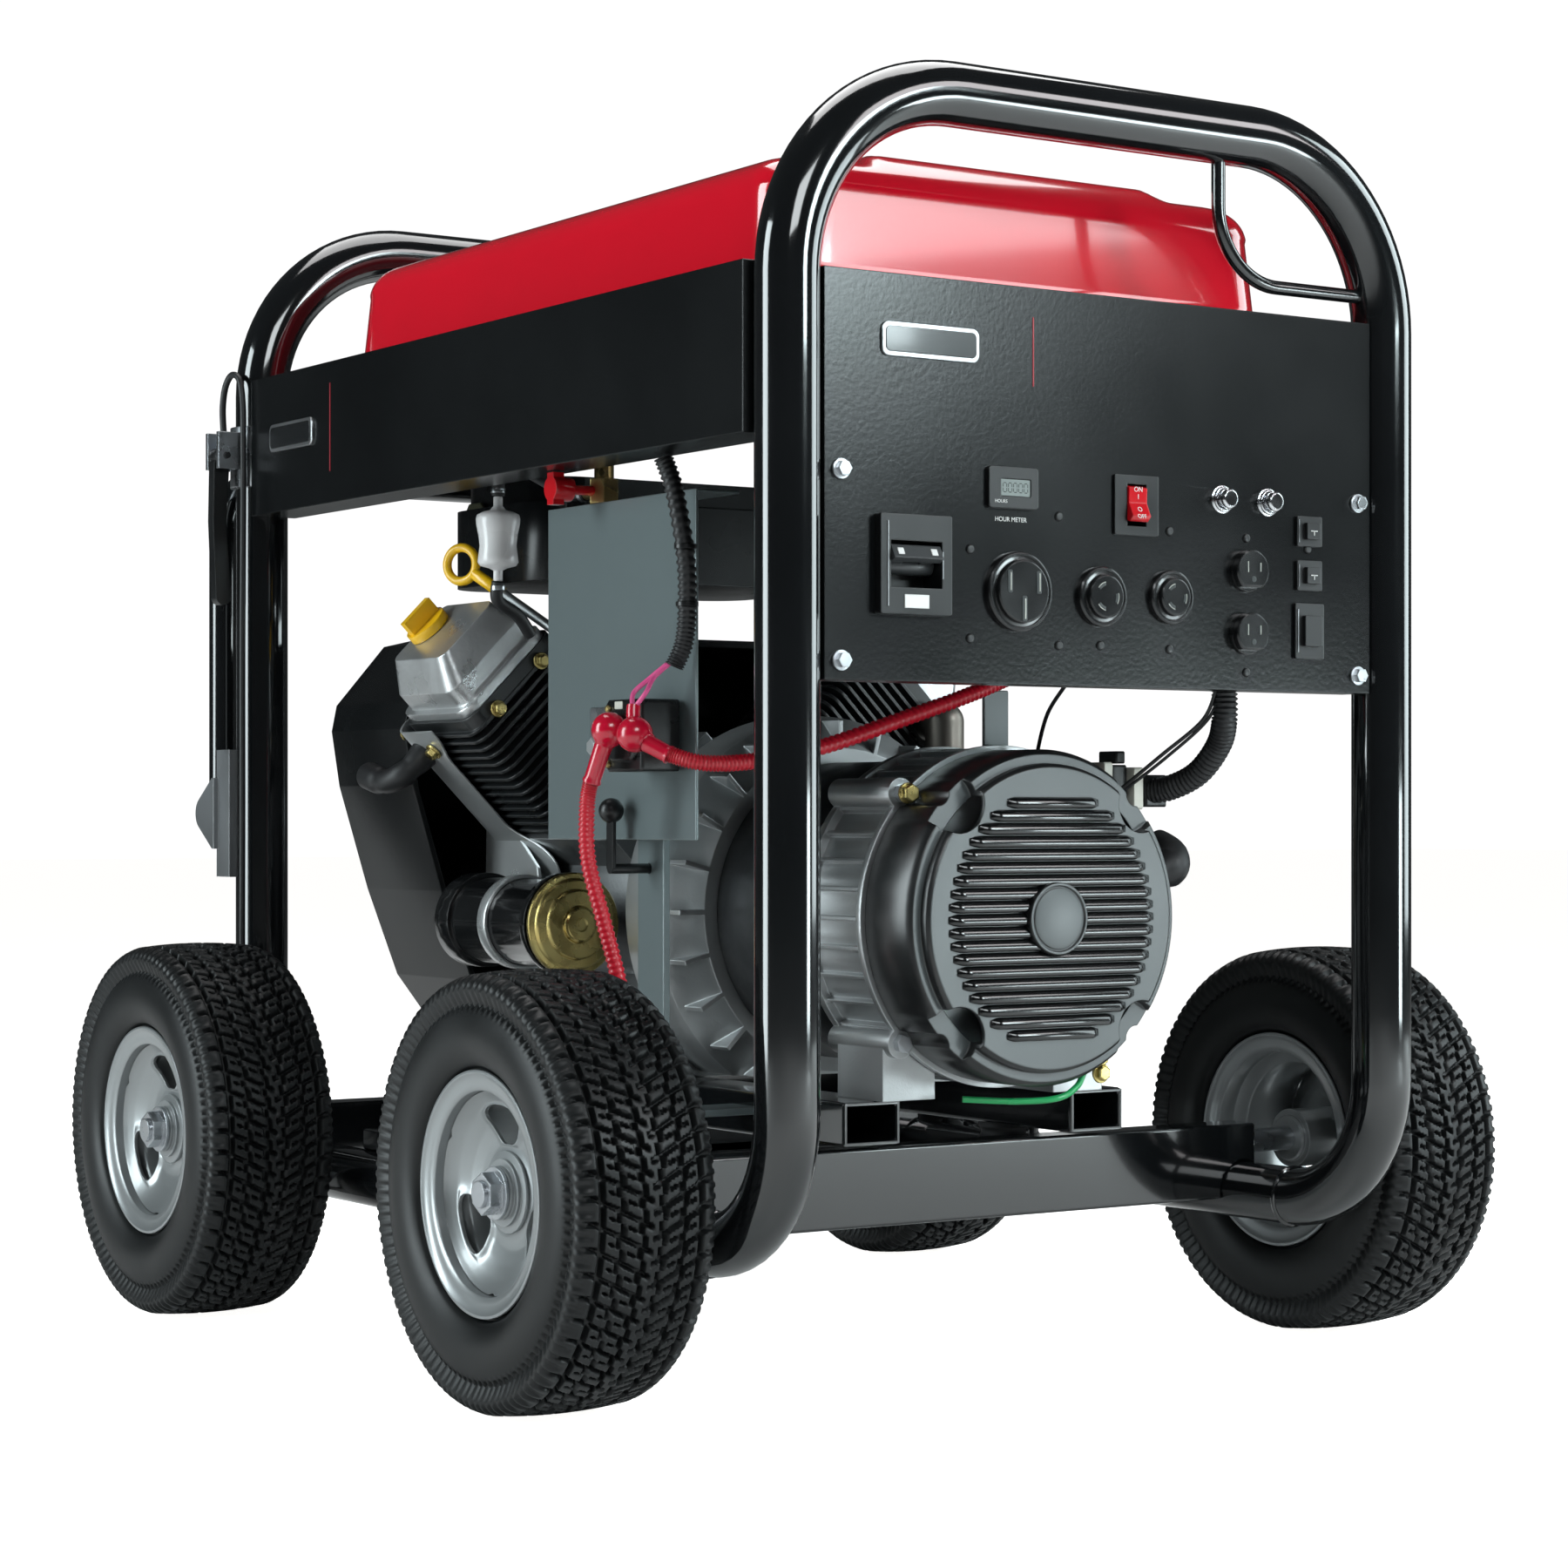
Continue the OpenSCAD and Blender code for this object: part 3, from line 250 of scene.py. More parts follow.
# Finish: broad and fine noise on the piece's own coordinates, as one height and one mottle mask.
finish_tree, finish_in, finish_out = group(
    "finish", [("Coarse", "NodeSocketFloat", 12.0), ("Fine", "NodeSocketFloat", 300.0),
               ("Low", "NodeSocketFloat", 0.1), ("High", "NodeSocketFloat", 0.3)],
    [("Mottle", "NodeSocketFloat"), ("Height", "NodeSocketFloat"), ("Roughness", "NodeSocketFloat")])
where = finish_tree.nodes.new("ShaderNodeTexCoord")
broad = finish_tree.nodes.new("ShaderNodeTexNoise")
fine = finish_tree.nodes.new("ShaderNodeTexNoise")
broad.inputs["Detail"].default_value = 3.0
fine.inputs["Detail"].default_value = 4.0
finish_tree.links.new(where.outputs["Object"], broad.inputs["Vector"])
finish_tree.links.new(where.outputs["Object"], fine.inputs["Vector"])
finish_tree.links.new(finish_in.outputs["Coarse"], broad.inputs["Scale"])
finish_tree.links.new(finish_in.outputs["Fine"], fine.inputs["Scale"])
spread = finish_tree.nodes.new("ShaderNodeMapRange")
finish_tree.links.new(broad.outputs["Fac"], spread.inputs["Value"])
finish_tree.links.new(finish_in.outputs["Low"], spread.inputs["To Min"])
finish_tree.links.new(finish_in.outputs["High"], spread.inputs["To Max"])
spread.inputs["From Min"].default_value = 0.3
spread.inputs["From Max"].default_value = 0.7
finish_tree.links.new(broad.outputs["Fac"], finish_out.inputs["Mottle"])
finish_tree.links.new(fine.outputs["Fac"], finish_out.inputs["Height"])
finish_tree.links.new(spread.outputs["Result"], finish_out.inputs["Roughness"])

# Edge rounding and painted highlight: how far the surface turns within a millimetre or two, as a mask of
# convex edges that lightens them with a painted highlight, and the eased normal.
rounded_edge_and_highlight_tree, rounded_edge_and_highlight_in, rounded_edge_and_highlight_out = group(
    "rounded_edge_and_highlight", [("Reach", "NodeSocketFloat", 0.0015)],
    [("Mask", "NodeSocketFloat"), ("Normal", "NodeSocketVector")])
eased = rounded_edge_and_highlight_tree.nodes.new("ShaderNodeBevel")
eased.samples = 4
flat = rounded_edge_and_highlight_tree.nodes.new("ShaderNodeNewGeometry")
turned = rounded_edge_and_highlight_tree.nodes.new("ShaderNodeVectorMath")
turned.operation = "DOT_PRODUCT"
rounded_edge_and_highlight_tree.links.new(rounded_edge_and_highlight_in.outputs["Reach"], eased.inputs["Radius"])
rounded_edge_and_highlight_tree.links.new(eased.outputs["Normal"], turned.inputs[0])
rounded_edge_and_highlight_tree.links.new(flat.outputs["Normal"], turned.inputs[1])
edge_highlight_mask = math_node(rounded_edge_and_highlight_tree, "SUBTRACT", 1.0, turned.outputs["Value"])
edge_highlight_mask = math_node(rounded_edge_and_highlight_tree, "MULTIPLY", edge_highlight_mask, 4.0)
node = rounded_edge_and_highlight_tree.nodes.new("ShaderNodeClamp")
rounded_edge_and_highlight_tree.links.new(edge_highlight_mask, node.inputs["Value"])
rounded_edge_and_highlight_tree.links.new(node.outputs[0], rounded_edge_and_highlight_out.inputs["Mask"])
rounded_edge_and_highlight_tree.links.new(eased.outputs["Normal"], rounded_edge_and_highlight_out.inputs["Normal"])


def colour_mix(tree, first, second, factor):
    """A Mix node between two colours, driven by a socket."""
    blend = tree.nodes.new("ShaderNodeMix")
    blend.data_type = "RGBA"
    blend.inputs["A"].default_value = (*first, 1)
    blend.inputs["B"].default_value = (*second, 1)
    tree.links.new(factor, blend.inputs["Factor"])
    return blend


def finished(name, color, low, high, metallic=0.0, coat=0.0, coarse=12.0, fine_scale=300.0, bump=0.05,
             depth=0.0002, edge=None, edge_reach=0.0015, shade=None, specular=0.5):
    """A material whose roughness wanders between low and high, with fine bump, softened edges, an
    optional edge colour that lightens convex edges as a painted highlight, and an optional second
    shade that the broad noise mixes in."""
    material, tree, shader = new_material(name, color, low, metallic, coat, specular)
    surface = tree.nodes.new("ShaderNodeGroup")
    surface.node_tree = finish_tree
    surface.inputs["Coarse"].default_value = coarse
    surface.inputs["Fine"].default_value = fine_scale
    surface.inputs["Low"].default_value = low
    surface.inputs["High"].default_value = high
    edges = tree.nodes.new("ShaderNodeGroup")
    edges.node_tree = rounded_edge_and_highlight_tree
    edges.inputs["Reach"].default_value = edge_reach
    tree.links.new(surface.outputs["Roughness"], shader.inputs["Roughness"])
    relief = tree.nodes.new("ShaderNodeBump")
    relief.inputs["Strength"].default_value = bump
    relief.inputs["Distance"].default_value = depth
    tree.links.new(surface.outputs["Height"], relief.inputs["Height"])
    tree.links.new(edges.outputs["Normal"], relief.inputs["Normal"])
    tree.links.new(relief.outputs["Normal"], shader.inputs["Normal"])
    if shade:
        blend = colour_mix(tree, color, shade, surface.outputs["Mottle"])
        tree.links.new(blend.outputs["Result"], shader.inputs["Base Color"])
    # The edge colour is a painted highlight: convex edges are lightened as if they catch the light.
    if edge:
        rim = colour_mix(tree, color, edge, edges.outputs["Mask"])
        if shade:
            tree.links.new(blend.outputs["Result"], rim.inputs["A"])
        tree.links.new(rim.outputs["Result"], shader.inputs["Base Color"])
    return material


def dress(material, *names, bevel=0.0):
    """Gives CAD nodes a material, and optionally welds them and eases their edges."""
    for name in names:
        node_object = nodes[name]
        node_object.data.materials.clear()
        node_object.data.materials.append(material)
        if bevel:
            weld = node_object.modifiers.new("weld", "WELD")
            weld.merge_threshold = 0.00001
            ease = node_object.modifiers.new("ease", "BEVEL")
            ease.width = bevel
            ease.segments = 2
            ease.limit_method = "ANGLE"
            ease.angle_limit = math.radians(35)
            ease.harden_normals = True


def middle_of(name):
    """The middle of a CAD node's box."""
    low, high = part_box(name)
    return np.array((low + high) / 2)


def above(name, height):
    """The point over the middle of a CAD node's box at a height above its underside."""
    low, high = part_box(name)
    return np.array([(low.x + high.x) / 2, (low.y + high.y) / 2, low.z + height])


gloss_black = finished("gloss_black_powder", (0.0035, 0.004, 0.0045), 0.07, 0.16, coat=1.0, coarse=6,
                       fine_scale=90, bump=0.03, depth=0.0004, shade=(0.007, 0.008, 0.009))
low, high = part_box("front_hoop")
tube_r = 0.024
post_x = high.x - tube_r
front_y = low.y + tube_r
top_z = high.z - tube_r
rail_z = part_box("side_rails")[0].z + tube_r
low_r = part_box("side_rails")[0].y - front_y
rear_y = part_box("rear_hoop")[1].y - tube_r
top_r = 0.145
X, Y, Z = np.eye(3)


def hoop_path(y, inward):
    """Half the hoop's centreline and its mirror image: rail, foot bend, post, corner, top rail."""
    foot = arc((post_x, y + inward * low_r, rail_z + low_r), (0, -inward, 0), (0, 0, -1), low_r, 90, 0, 14)
    corner = arc((post_x - top_r, y, top_z - top_r), X, Z, top_r, 0, 90, 22)
    leg = np.linspace(foot[-1], corner[0], 12)[1:-1]
    half = np.concatenate([foot, leg, corner])
    return np.concatenate([half, half[::-1] * [-1, 1, 1]])


for name, y, inward in (("front_hoop", front_y, 1), ("rear_hoop", rear_y, -1)):
    mesh_piece(name + "_tube", swept(hoop_path(y, inward), tube_r, sides=48),
               gloss_black, (name,))
rail_low, rail_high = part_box("side_rails")
rails = [swept(np.linspace((s * post_x, rail_low.y, rail_z), (s * post_x, rail_high.y, rail_z), 8),
               tube_r, sides=48, capped=False) for s in (-1, 1)]
beads = [swept(arc((s * post_x, y, rail_z), X, Z, tube_r - 0.0003, 0, 360, 60), 0.0022, 8, capped=False)
         for s in (-1, 1) for y in (rail_low.y, rail_high.y)]
mesh_piece("side_rails_tube", join(rails + beads), gloss_black, ("side_rails",))

# --- Axle beams, cross members and engine skids ---------------------------------------------------
# Folded steel channels notched over the side rails and welded, in the same gloss black. The skids
# are rolled channel, and the engine stands on them through four rubber isolators.

dress(gloss_black, "front_axle_beam", "rear_axle_beam", "cross_members", "engine_skids", bevel=0.003)
dress(gloss_black, "hook_rod", "tow_handle")
mount_rubber = finished("mount_rubber", (0.012, 0.012, 0.013), 0.55, 0.7, fine_scale=500, bump=0.15)
dress(mount_rubber, "isolators")

# --- Tyres ----------------------------------------------------------------------------------------
# Moulded turf tyres, 13 inches by 5: a smooth sidewall, a shoulder of short radial ribs, and four
# rows of notched blocks either side of a centre bar, all slanted into one chevron.

rubber = finished("tyre_rubber", (0.0035, 0.0040, 0.0042), 0.36, 0.52, coarse=9, fine_scale=420, bump=0.12,
                  depth=0.0003, shade=(0.006, 0.007, 0.0075), specular=0.40)
pitches = 56
around = pitches * 13
tread_depth = 0.0060


def tread_height(across, turn):
    """Height of the tread in 0..1. across runs from -1 to 1 over the tread and turn counts
    pitches; a block is raised except in the slanted groove at each pitch and in the wavy grooves
    that run round between rows, which step sideways halfway along each block."""
    reach = np.abs(across)
    along = (turn + 1.25 * reach + 0.5 * (across > 0)) % 1.0
    step = np.where(along < 0.58, 0.035, -0.035)
    rows = [0.17, 0.55, 0.86]
    gap = np.min([np.abs(reach - row - step * (1 if row < 0.8 else 0)) for row in rows], axis=0)
    between_rows = np.clip((gap - 0.028) / 0.02, 0, 1)
    cross_groove = np.clip((np.abs(along - 0.11) - 0.080) / 0.035, 0, 1)
    notch = (np.abs(along - 0.58) < 0.06) & (np.abs(reach - 0.36) < 0.07) & (reach < 0.6)
    notch |= (np.abs(along - 0.58) < 0.06) & (np.abs(reach - 0.72) < 0.05)
    return np.minimum(between_rows, cross_groove) * np.where(notch, 0.25, 1)


def tyre_points(radius, width, bead, sides):
    """A closed section carried round the axle: bead, bulging sidewall arc, shoulder, crowned tread
    r = R - 2.5 (x / 46 mm)^2, and back. Tread points are sunk by the groove depth, shoulder points
    by a rib wave. Rows run across the section and columns round the wheel."""
    arc_t = np.radians(np.linspace(-62, 62, 15))
    side_r = bead + 0.038 + 0.026 * np.sin(arc_t)
    side_w = width / 2 - 0.014 + 0.014 * np.cos(arc_t)
    tread_w = np.linspace(0.0475, -0.0475, 62)
    tread_r = radius - 0.0025 * (tread_w / 0.046) ** 2
    shoulder_r = radius - np.array([0.0130, 0.0100, 0.0070, 0.0045])
    shoulder_w = width / 2 - np.array([0.0022, 0.0026, 0.0045, 0.0080])
    r = np.concatenate([[bead, bead + 0.013], side_r, shoulder_r, tread_r, shoulder_r[::-1],
                        side_r[::-1], [bead + 0.013, bead]])
    w = np.concatenate([[width / 2 - 0.0143, width / 2 - 0.0130], side_w, shoulder_w, tread_w,
                        -shoulder_w[::-1], -side_w[::-1], [-width / 2 + 0.0130, -width / 2 + 0.0143]])
    turn = np.linspace(0, 2 * np.pi, sides, endpoint=False)
    r = np.repeat(r[:, None], sides, axis=1)
    first_tread = 2 + len(side_r) + len(shoulder_r)
    tread = slice(first_tread, first_tread + len(tread_w))
    height = tread_height((tread_w / 0.0475)[:, None], turn[None] * pitches / (2 * np.pi))
    r[tread] -= tread_depth * (1 - height)
    ribs = 0.5 + 0.5 * np.sign(np.sin(turn * pitches * 2))
    for row in range(first_tread - 6, first_tread):
        r[row] -= 0.0022 * (1 - ribs)
        r[-row - 1] -= 0.0022 * (1 - ribs)
    return np.stack([np.repeat(w[:, None], sides, axis=1), r * np.cos(turn), r * np.sin(turn)], axis=2)


wheels = [("fl", -1, "wheel_front_left"), ("fr", 1, "wheel_front_right"),
          ("rl", -1, "wheel_rear_left"), ("rr", 1, "wheel_rear_right")]
for corner_name, side, body in wheels:
    low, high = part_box("tyre_" + corner_name)
    middle = np.array((low + high) / 2)
    tyre_r = (high.z - low.z) / 2
    points = tyre_points(tyre_r, high.x - low.x, 0.080, around)
    rows = points.shape[0]
    points = points.reshape(-1, 3) * [side, 1, 1] + middle
    faces = grid_faces(rows, around, wrap_rows=True, wrap_columns=True)
    mesh_piece("tyre_" + corner_name + "_tread", (points, faces), rubber,
               ("tyre_" + corner_name,), body, crease=50)

# --- Rims, hubs and axles -------------------------------------------------------------------------
# Pressed steel rims in grey enamel: a rolled flange, a drop centre and a dished disc with three
# windows. They turn on zinc plated axles behind thick washers and hex nuts.

rim_enamel = finished("rim_enamel", (0.34, 0.355, 0.36), 0.28, 0.42, metallic=0.55, coat=0.4, coarse=8,
                      fine_scale=900, bump=0.04, shade=(0.30, 0.315, 0.32), edge=(0.55, 0.57, 0.58))


def lathe(profile, middle, axis=X, sides=96, closed=True):
    """A profile of (radius, height) points in millimetres turned about the axis through the middle:
    middle + height * axis + radius (cos t * u + sin t * v)."""
    profile = np.asarray(profile, float) / 1000
    axis = np.asarray(axis, float) / np.linalg.norm(axis)
    u = np.cross(axis, Z if abs(axis[2]) < 0.9 else X)
    u /= np.linalg.norm(u)
    v = np.cross(axis, u)
    t = np.linspace(0, 2 * np.pi, sides, endpoint=False)[None, :, None]
    points = (np.asarray(middle) + profile[:, 1, None, None] * axis
              + profile[:, 0, None, None] * (np.cos(t) * u + np.sin(t) * v))
    return points.reshape(-1, 3), grid_faces(len(profile), sides, wrap_rows=closed, wrap_columns=True)


def disc_height(r):
    """Distance of the disc's face out from the wheel's middle at radius r: a smooth line through
    the hub flange, the bottom of the dish and the rise to the flange."""
    known_r = np.array([24, 27.5, 31, 36, 44, 54, 66, 72, 76]) / 1000
    known_h = np.array([27, 26.5, 25, 24, 24.5, 27, 33, 37.5, 41]) / 1000
    fine_r = np.linspace(known_r[0], known_r[-1], 200)
    kernel = np.hanning(17) / np.hanning(17).sum()
    smooth = np.convolve(np.pad(np.interp(fine_r, known_r, known_h), 8, mode="edge"), kernel, mode="valid")
    return np.interp(r, fine_r, smooth)


def windowed_disc(inner, outer, thickness):
    """Three 120 degree sectors, each a grid from a rounded window out to the sector's edge. In the
    plane of angle and radius a column's point is W + b (S - W), where W lies on a squircle narrowed
    towards the hub and S on the sector's rectangle. Front and back faces are joined at the windows."""
    a = np.linspace(0, 2 * np.pi, 96, endpoint=False) + 2 * np.pi / 192
    cos_a, sin_a = np.cos(a), np.sin(a)
    square = np.stack([cos_a, sin_a]) / np.maximum(np.abs(cos_a), np.abs(sin_a))
    round_x = np.sign(cos_a) * np.abs(cos_a) ** 0.55
    round_y = np.sign(sin_a) * np.abs(sin_a) ** 0.55
    window_r = 0.0505 + 0.0150 * round_y
    window_t = np.radians(22.0 + 5.0 * round_y) * round_x
    edge_r = (inner + outer) / 2 + (outer - inner) / 2 * square[1]
    edge_t = np.radians(60) * square[0]
    b = (np.linspace(0, 1, 15) ** 1.3)[:, None]
    r = window_r + b * (edge_r - window_r)
    t = window_t + b * (edge_t - window_t)
    lip = 0.0022 * np.exp(-((b * 9) ** 2))
    parts = []
    for turn in np.radians([90, 210, 330]):
        front = np.stack([disc_height(r) + lip, r * np.cos(t + turn), r * np.sin(t + turn)], axis=2)
        back = front - [thickness, 0, 0]
        skin = np.concatenate([back[::-1], front])
        parts.append((skin.reshape(-1, 3), grid_faces(30, 96, wrap_columns=True)))
    return join(parts)


barrel = [(80, 45.7), (83, 46.6), (88, 47.6), (90.5, 48.6), (92, 50.4), (91.5, 52), (89.5, 52.2), (88, 51),
          (85, 49.6), (81, 49.2), (77.5, 48.6), (76, 47.4), (76, 34), (75.4, 31.5), (66, 25.6), (65, 24),
          (65, -24), (66, -25.6), (75.4, -31.5), (76, -34), (76, -47.4), (77.5, -48.6), (81, -49.2),
          (85, -49.6), (88, -51), (89.5, -52.2), (91.5, -52), (92, -50.4), (90.5, -48.6), (88, -47.6),
          (83, -46.6), (80, -45.7), (80, -29), (79.5, -27.5), (69, -22), (69, 22), (79.5, 27.5), (80, 29)]
hub = [(10.1, 36), (18.5, 36), (20, 34.8), (20, 32), (25, 32), (25, 29.2), (30.5, 28.4), (31, 27),
       (30.4, 25.6), (25, 24), (25, -32), (20, -32), (20, -34.8), (18.5, -36), (10.1, -36)]
zinc = finished("zinc_plate", (0.60, 0.62, 0.64), 0.22, 0.38, metallic=1.0, coarse=30, fine_scale=500,
                bump=0.06, shade=(0.50, 0.52, 0.55))
for corner_name, side, body in wheels:
    middle = middle_of("rim_" + corner_name)
    out = X * side
    points, faces = windowed_disc(0.026, 0.0755, 0.003)
    shells = [lathe(barrel, middle, out), (points * [side, 1, 1] + middle, faces)]
    mesh_piece("rim_" + corner_name + "_pressing", join(shells),
               rim_enamel, ("rim_" + corner_name,), body=body, crease=40)
    mesh_piece("hub_" + corner_name, lathe(hub, middle, out, 64),
               rim_enamel, body=body, crease=30)
dress(zinc, "axles")
dress(zinc, "fasteners", bevel=0.0006)

# --- Tow handle brackets and parking brake --------------------------------------------------------
# Die cast brackets bolted to the rear posts carry the handle's pivots. The brake is a plated clamp
# with a black lever and an outer cable that loops over and runs down the post to the axle beam.

die_cast = finished("die_cast", (0.30, 0.31, 0.32), 0.38, 0.52, metallic=0.9, coarse=10, fine_scale=600,
                    bump=0.15, shade=(0.25, 0.26, 0.27), edge=(0.5, 0.52, 0.53))
dress(die_cast, "handle_brackets", bevel=0.0015)
dress(zinc, "brake_perch", bevel=0.0008)
black_plastic = finished("black_plastic", (0.006, 0.0065, 0.007), 0.28, 0.42, coarse=14, fine_scale=600,
                         bump=0.06)
dress(black_plastic, "brake_lever", bevel=0.0015)
cable_sleeve = finished("cable_sleeve", (0.008, 0.008, 0.009), 0.35, 0.5, fine_scale=500, bump=0.08)


def curve_through(knots, count):
    """Catmull-Rom: 0.5 (2b + (c-a) t + (2a-5b+4c-d) t^2 + (3b-a-3c+d) t^3) between knots b and c,
    sampled at count places in all."""
    p = np.asarray(knots, float)
    p = np.concatenate([p[:1], p, p[-1:]])
    s = np.linspace(0, len(p) - 3 - 1e-9, count)
    i = s.astype(int)
    t = (s - i)[:, None]
    a, b, c, d = p[i], p[i + 1], p[i + 2], p[i + 3]
    return 0.5 * (2 * b + (c - a) * t + (2 * a - 5 * b + 4 * c - d) * t**2 + (3 * b - a - 3 * c + d) * t**3)


origin_shift = np.array([0, rear_y - 0.442, 0])
cable_knots = np.array([[-322, 454, 798.5], [-323, 454, 822], [-322, 450, 842], [-320, 440, 852],
                        [-318, 428, 846], [-317, 423, 822], [-317, 422, 780], [-317, 422, 740],
                        [-317, 424, 600], [-317, 424, 450], [-318, 422, 300], [-320, 412, 222],
                        [-320, 394, 198], [-314, 376, 190], [-300, 361, 185.5]]) / 1000 + origin_shift
mesh_piece("brake_cable_sleeve", swept(curve_through(cable_knots, 160), 0.003, 12),
           cable_sleeve, ("brake_cable",))

# --- Control panel, its box and the side panels ---------------------------------------------------
# Folded sheet steel in a finely textured black powder coat. The panel is screwed to the front
# hoop, and a folded box closes off the wiring behind it.

sheet_black = finished("sheet_black_powder", (0.0030, 0.0034, 0.0038), 0.19, 0.25, coarse=5, fine_scale=260,
                       bump=0.16, depth=0.0006, shade=(0.006, 0.007, 0.0075), specular=0.42)
dress(sheet_black, "control_panel", "panel_box", "side_panels", bevel=0.0012)
dress(black_plastic, "panel_bezels", "breakers", bevel=0.0006)
face_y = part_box("control_panel")[0].y


def prism(outline, middle, depth, ease=0.0, face=(0, -1, 0), up=(0, 0, 1)):
    """A flat outline of (across, up) points in millimetres raised from middle along the face
    direction: rings at the back, at the front less the easing, and at the front drawn in by the
    easing, then capped."""
    outline = np.asarray(outline, float) * 0.001
    face, up = np.asarray(face, float), np.asarray(up, float)
    across = np.cross(up, face)
    centre = outline.mean(axis=0)
    size = np.abs(outline - centre).max()
    rings = [(1.0, 0.0), (1.0, depth - ease), (1 - ease / size, depth)]
    points = [np.asarray(middle) + ((outline - centre) * k + centre) @ np.stack([across, up]) + h * face
              for k, h in rings]
    n = len(outline)
    faces = grid_faces(3, n, wrap_columns=True) + [list(range(n))[::-1], list(range(2 * n, 3 * n))]
    return np.concatenate(points), faces


def rounded_outline(width, height, radius, steps=6):
    """Corner arcs r (cos t, sin t) about the four corner centres, in order round the outline."""
    t = np.radians(np.linspace(0, 90, steps))
    corners = [(1, 1, 0), (-1, 1, 90), (-1, -1, 180), (1, -1, 270)]
    arcs = [np.stack([sx * (width / 2 - radius) + radius * np.cos(t + np.radians(a)),
                      sy * (height / 2 - radius) + radius * np.sin(t + np.radians(a))], axis=1)
            for sx, sy, a in corners]
    return np.concatenate(arcs)


def circle_outline(diameter, steps=40):
    """Points d/2 (cos t, sin t)."""
    t = np.linspace(0, 2 * np.pi, steps, endpoint=False)
    return diameter / 2 * np.stack([np.cos(t), np.sin(t)], axis=1)


def lettering(name, text, x, z, height, y, material, body, lean):
    """Printed lettering: the font's outline raised 0.1 mm, laid on a face that looks towards -Y and
    leans back by an angle about X. x and z are the place of its middle."""
    words = bpy.data.curves.new(name, "FONT")
    words.body, words.size, words.extrude = text, height * 1.35, 0.00005
    words.align_x = words.align_y = "CENTER"
    holder = bpy.data.objects.new(name + "_curve", words)
    scene.collection.objects.link(holder)
    bpy.context.view_layer.update()
    mesh = bpy.data.meshes.new_from_object(holder.evaluated_get(bpy.context.evaluated_depsgraph_get()))
    bpy.data.objects.remove(holder)
    mesh.transform(Matrix.Translation((x, y, z)) @ Matrix.Rotation(math.radians(90 + lean), 4, "X"))
    mesh.materials.clear()
    mesh.materials.append(material)
    piece = bpy.data.objects.new(name, mesh)
    scene.collection.objects.link(piece)
    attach(piece, body)


white_ink = finished("white_ink", (0.80, 0.80, 0.78), 0.4, 0.5, fine_scale=900, bump=0.05)
red_ink = finished("red_ink", (0.42, 0.02, 0.035), 0.35, 0.45, fine_scale=900, bump=0.05)
rules = [prism(rounded_outline(1.2, 52, 0.5), (-0.076, face_y, 0.791), 0.0004)]
side_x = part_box("side_panels")[0].x
rules.append(prism(rounded_outline(1.4, 78, 0.5), (side_x, 0.223, 0.787), 0.0004, face=(-1, 0, 0)))
mesh_piece("panel_red_rules", join(rules), red_ink)
badge_metal = finished("badge_metal", (0.56, 0.57, 0.58), 0.24, 0.34, metallic=1.0, fine_scale=700,
                       bump=0.05)
badge_face = finished("badge_face", (0.010, 0.011, 0.012), 0.18, 0.26, coat=0.6, fine_scale=500, bump=0.04)
badges = [((-0.1715, face_y, 0.791), (0, -1, 0), 88), ((side_x, 0.300, 0.787), (-1, 0, 0), 88)]
mesh_piece(
    "badge_frames",
    join([prism(rounded_outline(w, 25, 6, 10), p, 0.0022, 0.0006, face=f) for p, f, w in badges]),
    badge_metal)
mesh_piece(
    "badge_plates",
    join([prism(rounded_outline(w - 6, 19, 4, 10), p, 0.0028, 0.0003, face=f) for p, f, w in badges]),
    badge_face)
panel_screws = [(-0.212, 0.659), (-0.135, 0.641), (-0.052, 0.669), (0.004, 0.666), (0.056, 0.663),
                (0.134, 0.661), (0.198, 0.655), (-0.135, 0.575), (-0.052, 0.572), (0.056, 0.572),
                (0.134, 0.556), (-0.012, 0.573)]
heads = [(0.1, 1.9), (2.6, 1.7), (3.5, 0.9), (3.8, 0.0), (0.1, 0.0)]
parts = [lathe(heads[::-1], (x, face_y, z), -Y, 24) for x, z in panel_screws]
mesh_piece("panel_device_screws", join(parts), black_plastic)

# --- Hour meter, power rocker and reset buttons ---------------------------------------------------
# A snap-in meter with a liquid crystal window, a red rocker in its bezel, and two plated push
# buttons that trip and reset. Each is held from behind.

lcd_glass = finished("lcd_glass", (0.30, 0.34, 0.33), 0.08, 0.14, coat=1.0, coarse=40, fine_scale=800,
                     bump=0.02, shade=(0.24, 0.28, 0.27))
# Dark for the meter's segments, and for the painted shade in the receptacle openings.
segment_and_slot_shade_dark = finished("lcd_segment_and_slot_shade", (0.02, 0.025, 0.025), 0.3, 0.4, fine_scale=900, bump=0.03)
meter_x, meter_z = -0.095, 0.688
mesh_piece(
    "hour_meter_window",
    prism(rounded_outline(27.6, 12.6, 0.8), (meter_x, face_y - 0.0010, meter_z), 0.0024, 0.0003),
    lcd_glass)
zero = [(0, 3.4, 2.4, 0.7), (0, -3.4, 2.4, 0.7), (-1.7, 1.7, 0.6, 2.6), (1.7, 1.7, 0.6, 2.6),
        (-1.7, -1.7, 0.6, 2.6), (1.7, -1.7, 0.6, 2.6)]
parts = [prism(rounded_outline(w, h, 0.25, 3),
               (meter_x + (place * 4.9 - 10 + x) / 1000, face_y - 0.0034, meter_z + z / 1000), 0.0001)
         for place in range(5) for x, z, w, h in zero]
mesh_piece("hour_meter_digits", join(parts), segment_and_slot_shade_dark)
red_plastic = finished("red_plastic", (0.55, 0.006, 0.012), 0.16, 0.26, coat=0.5, fine_scale=500, bump=0.04)
dress(red_plastic, "power_rocker", bevel=0.0008)
rocker_low, rocker_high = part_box("power_rocker")
rocker_x, rocker_z = (rocker_low.x + rocker_high.x) / 2, 0.681
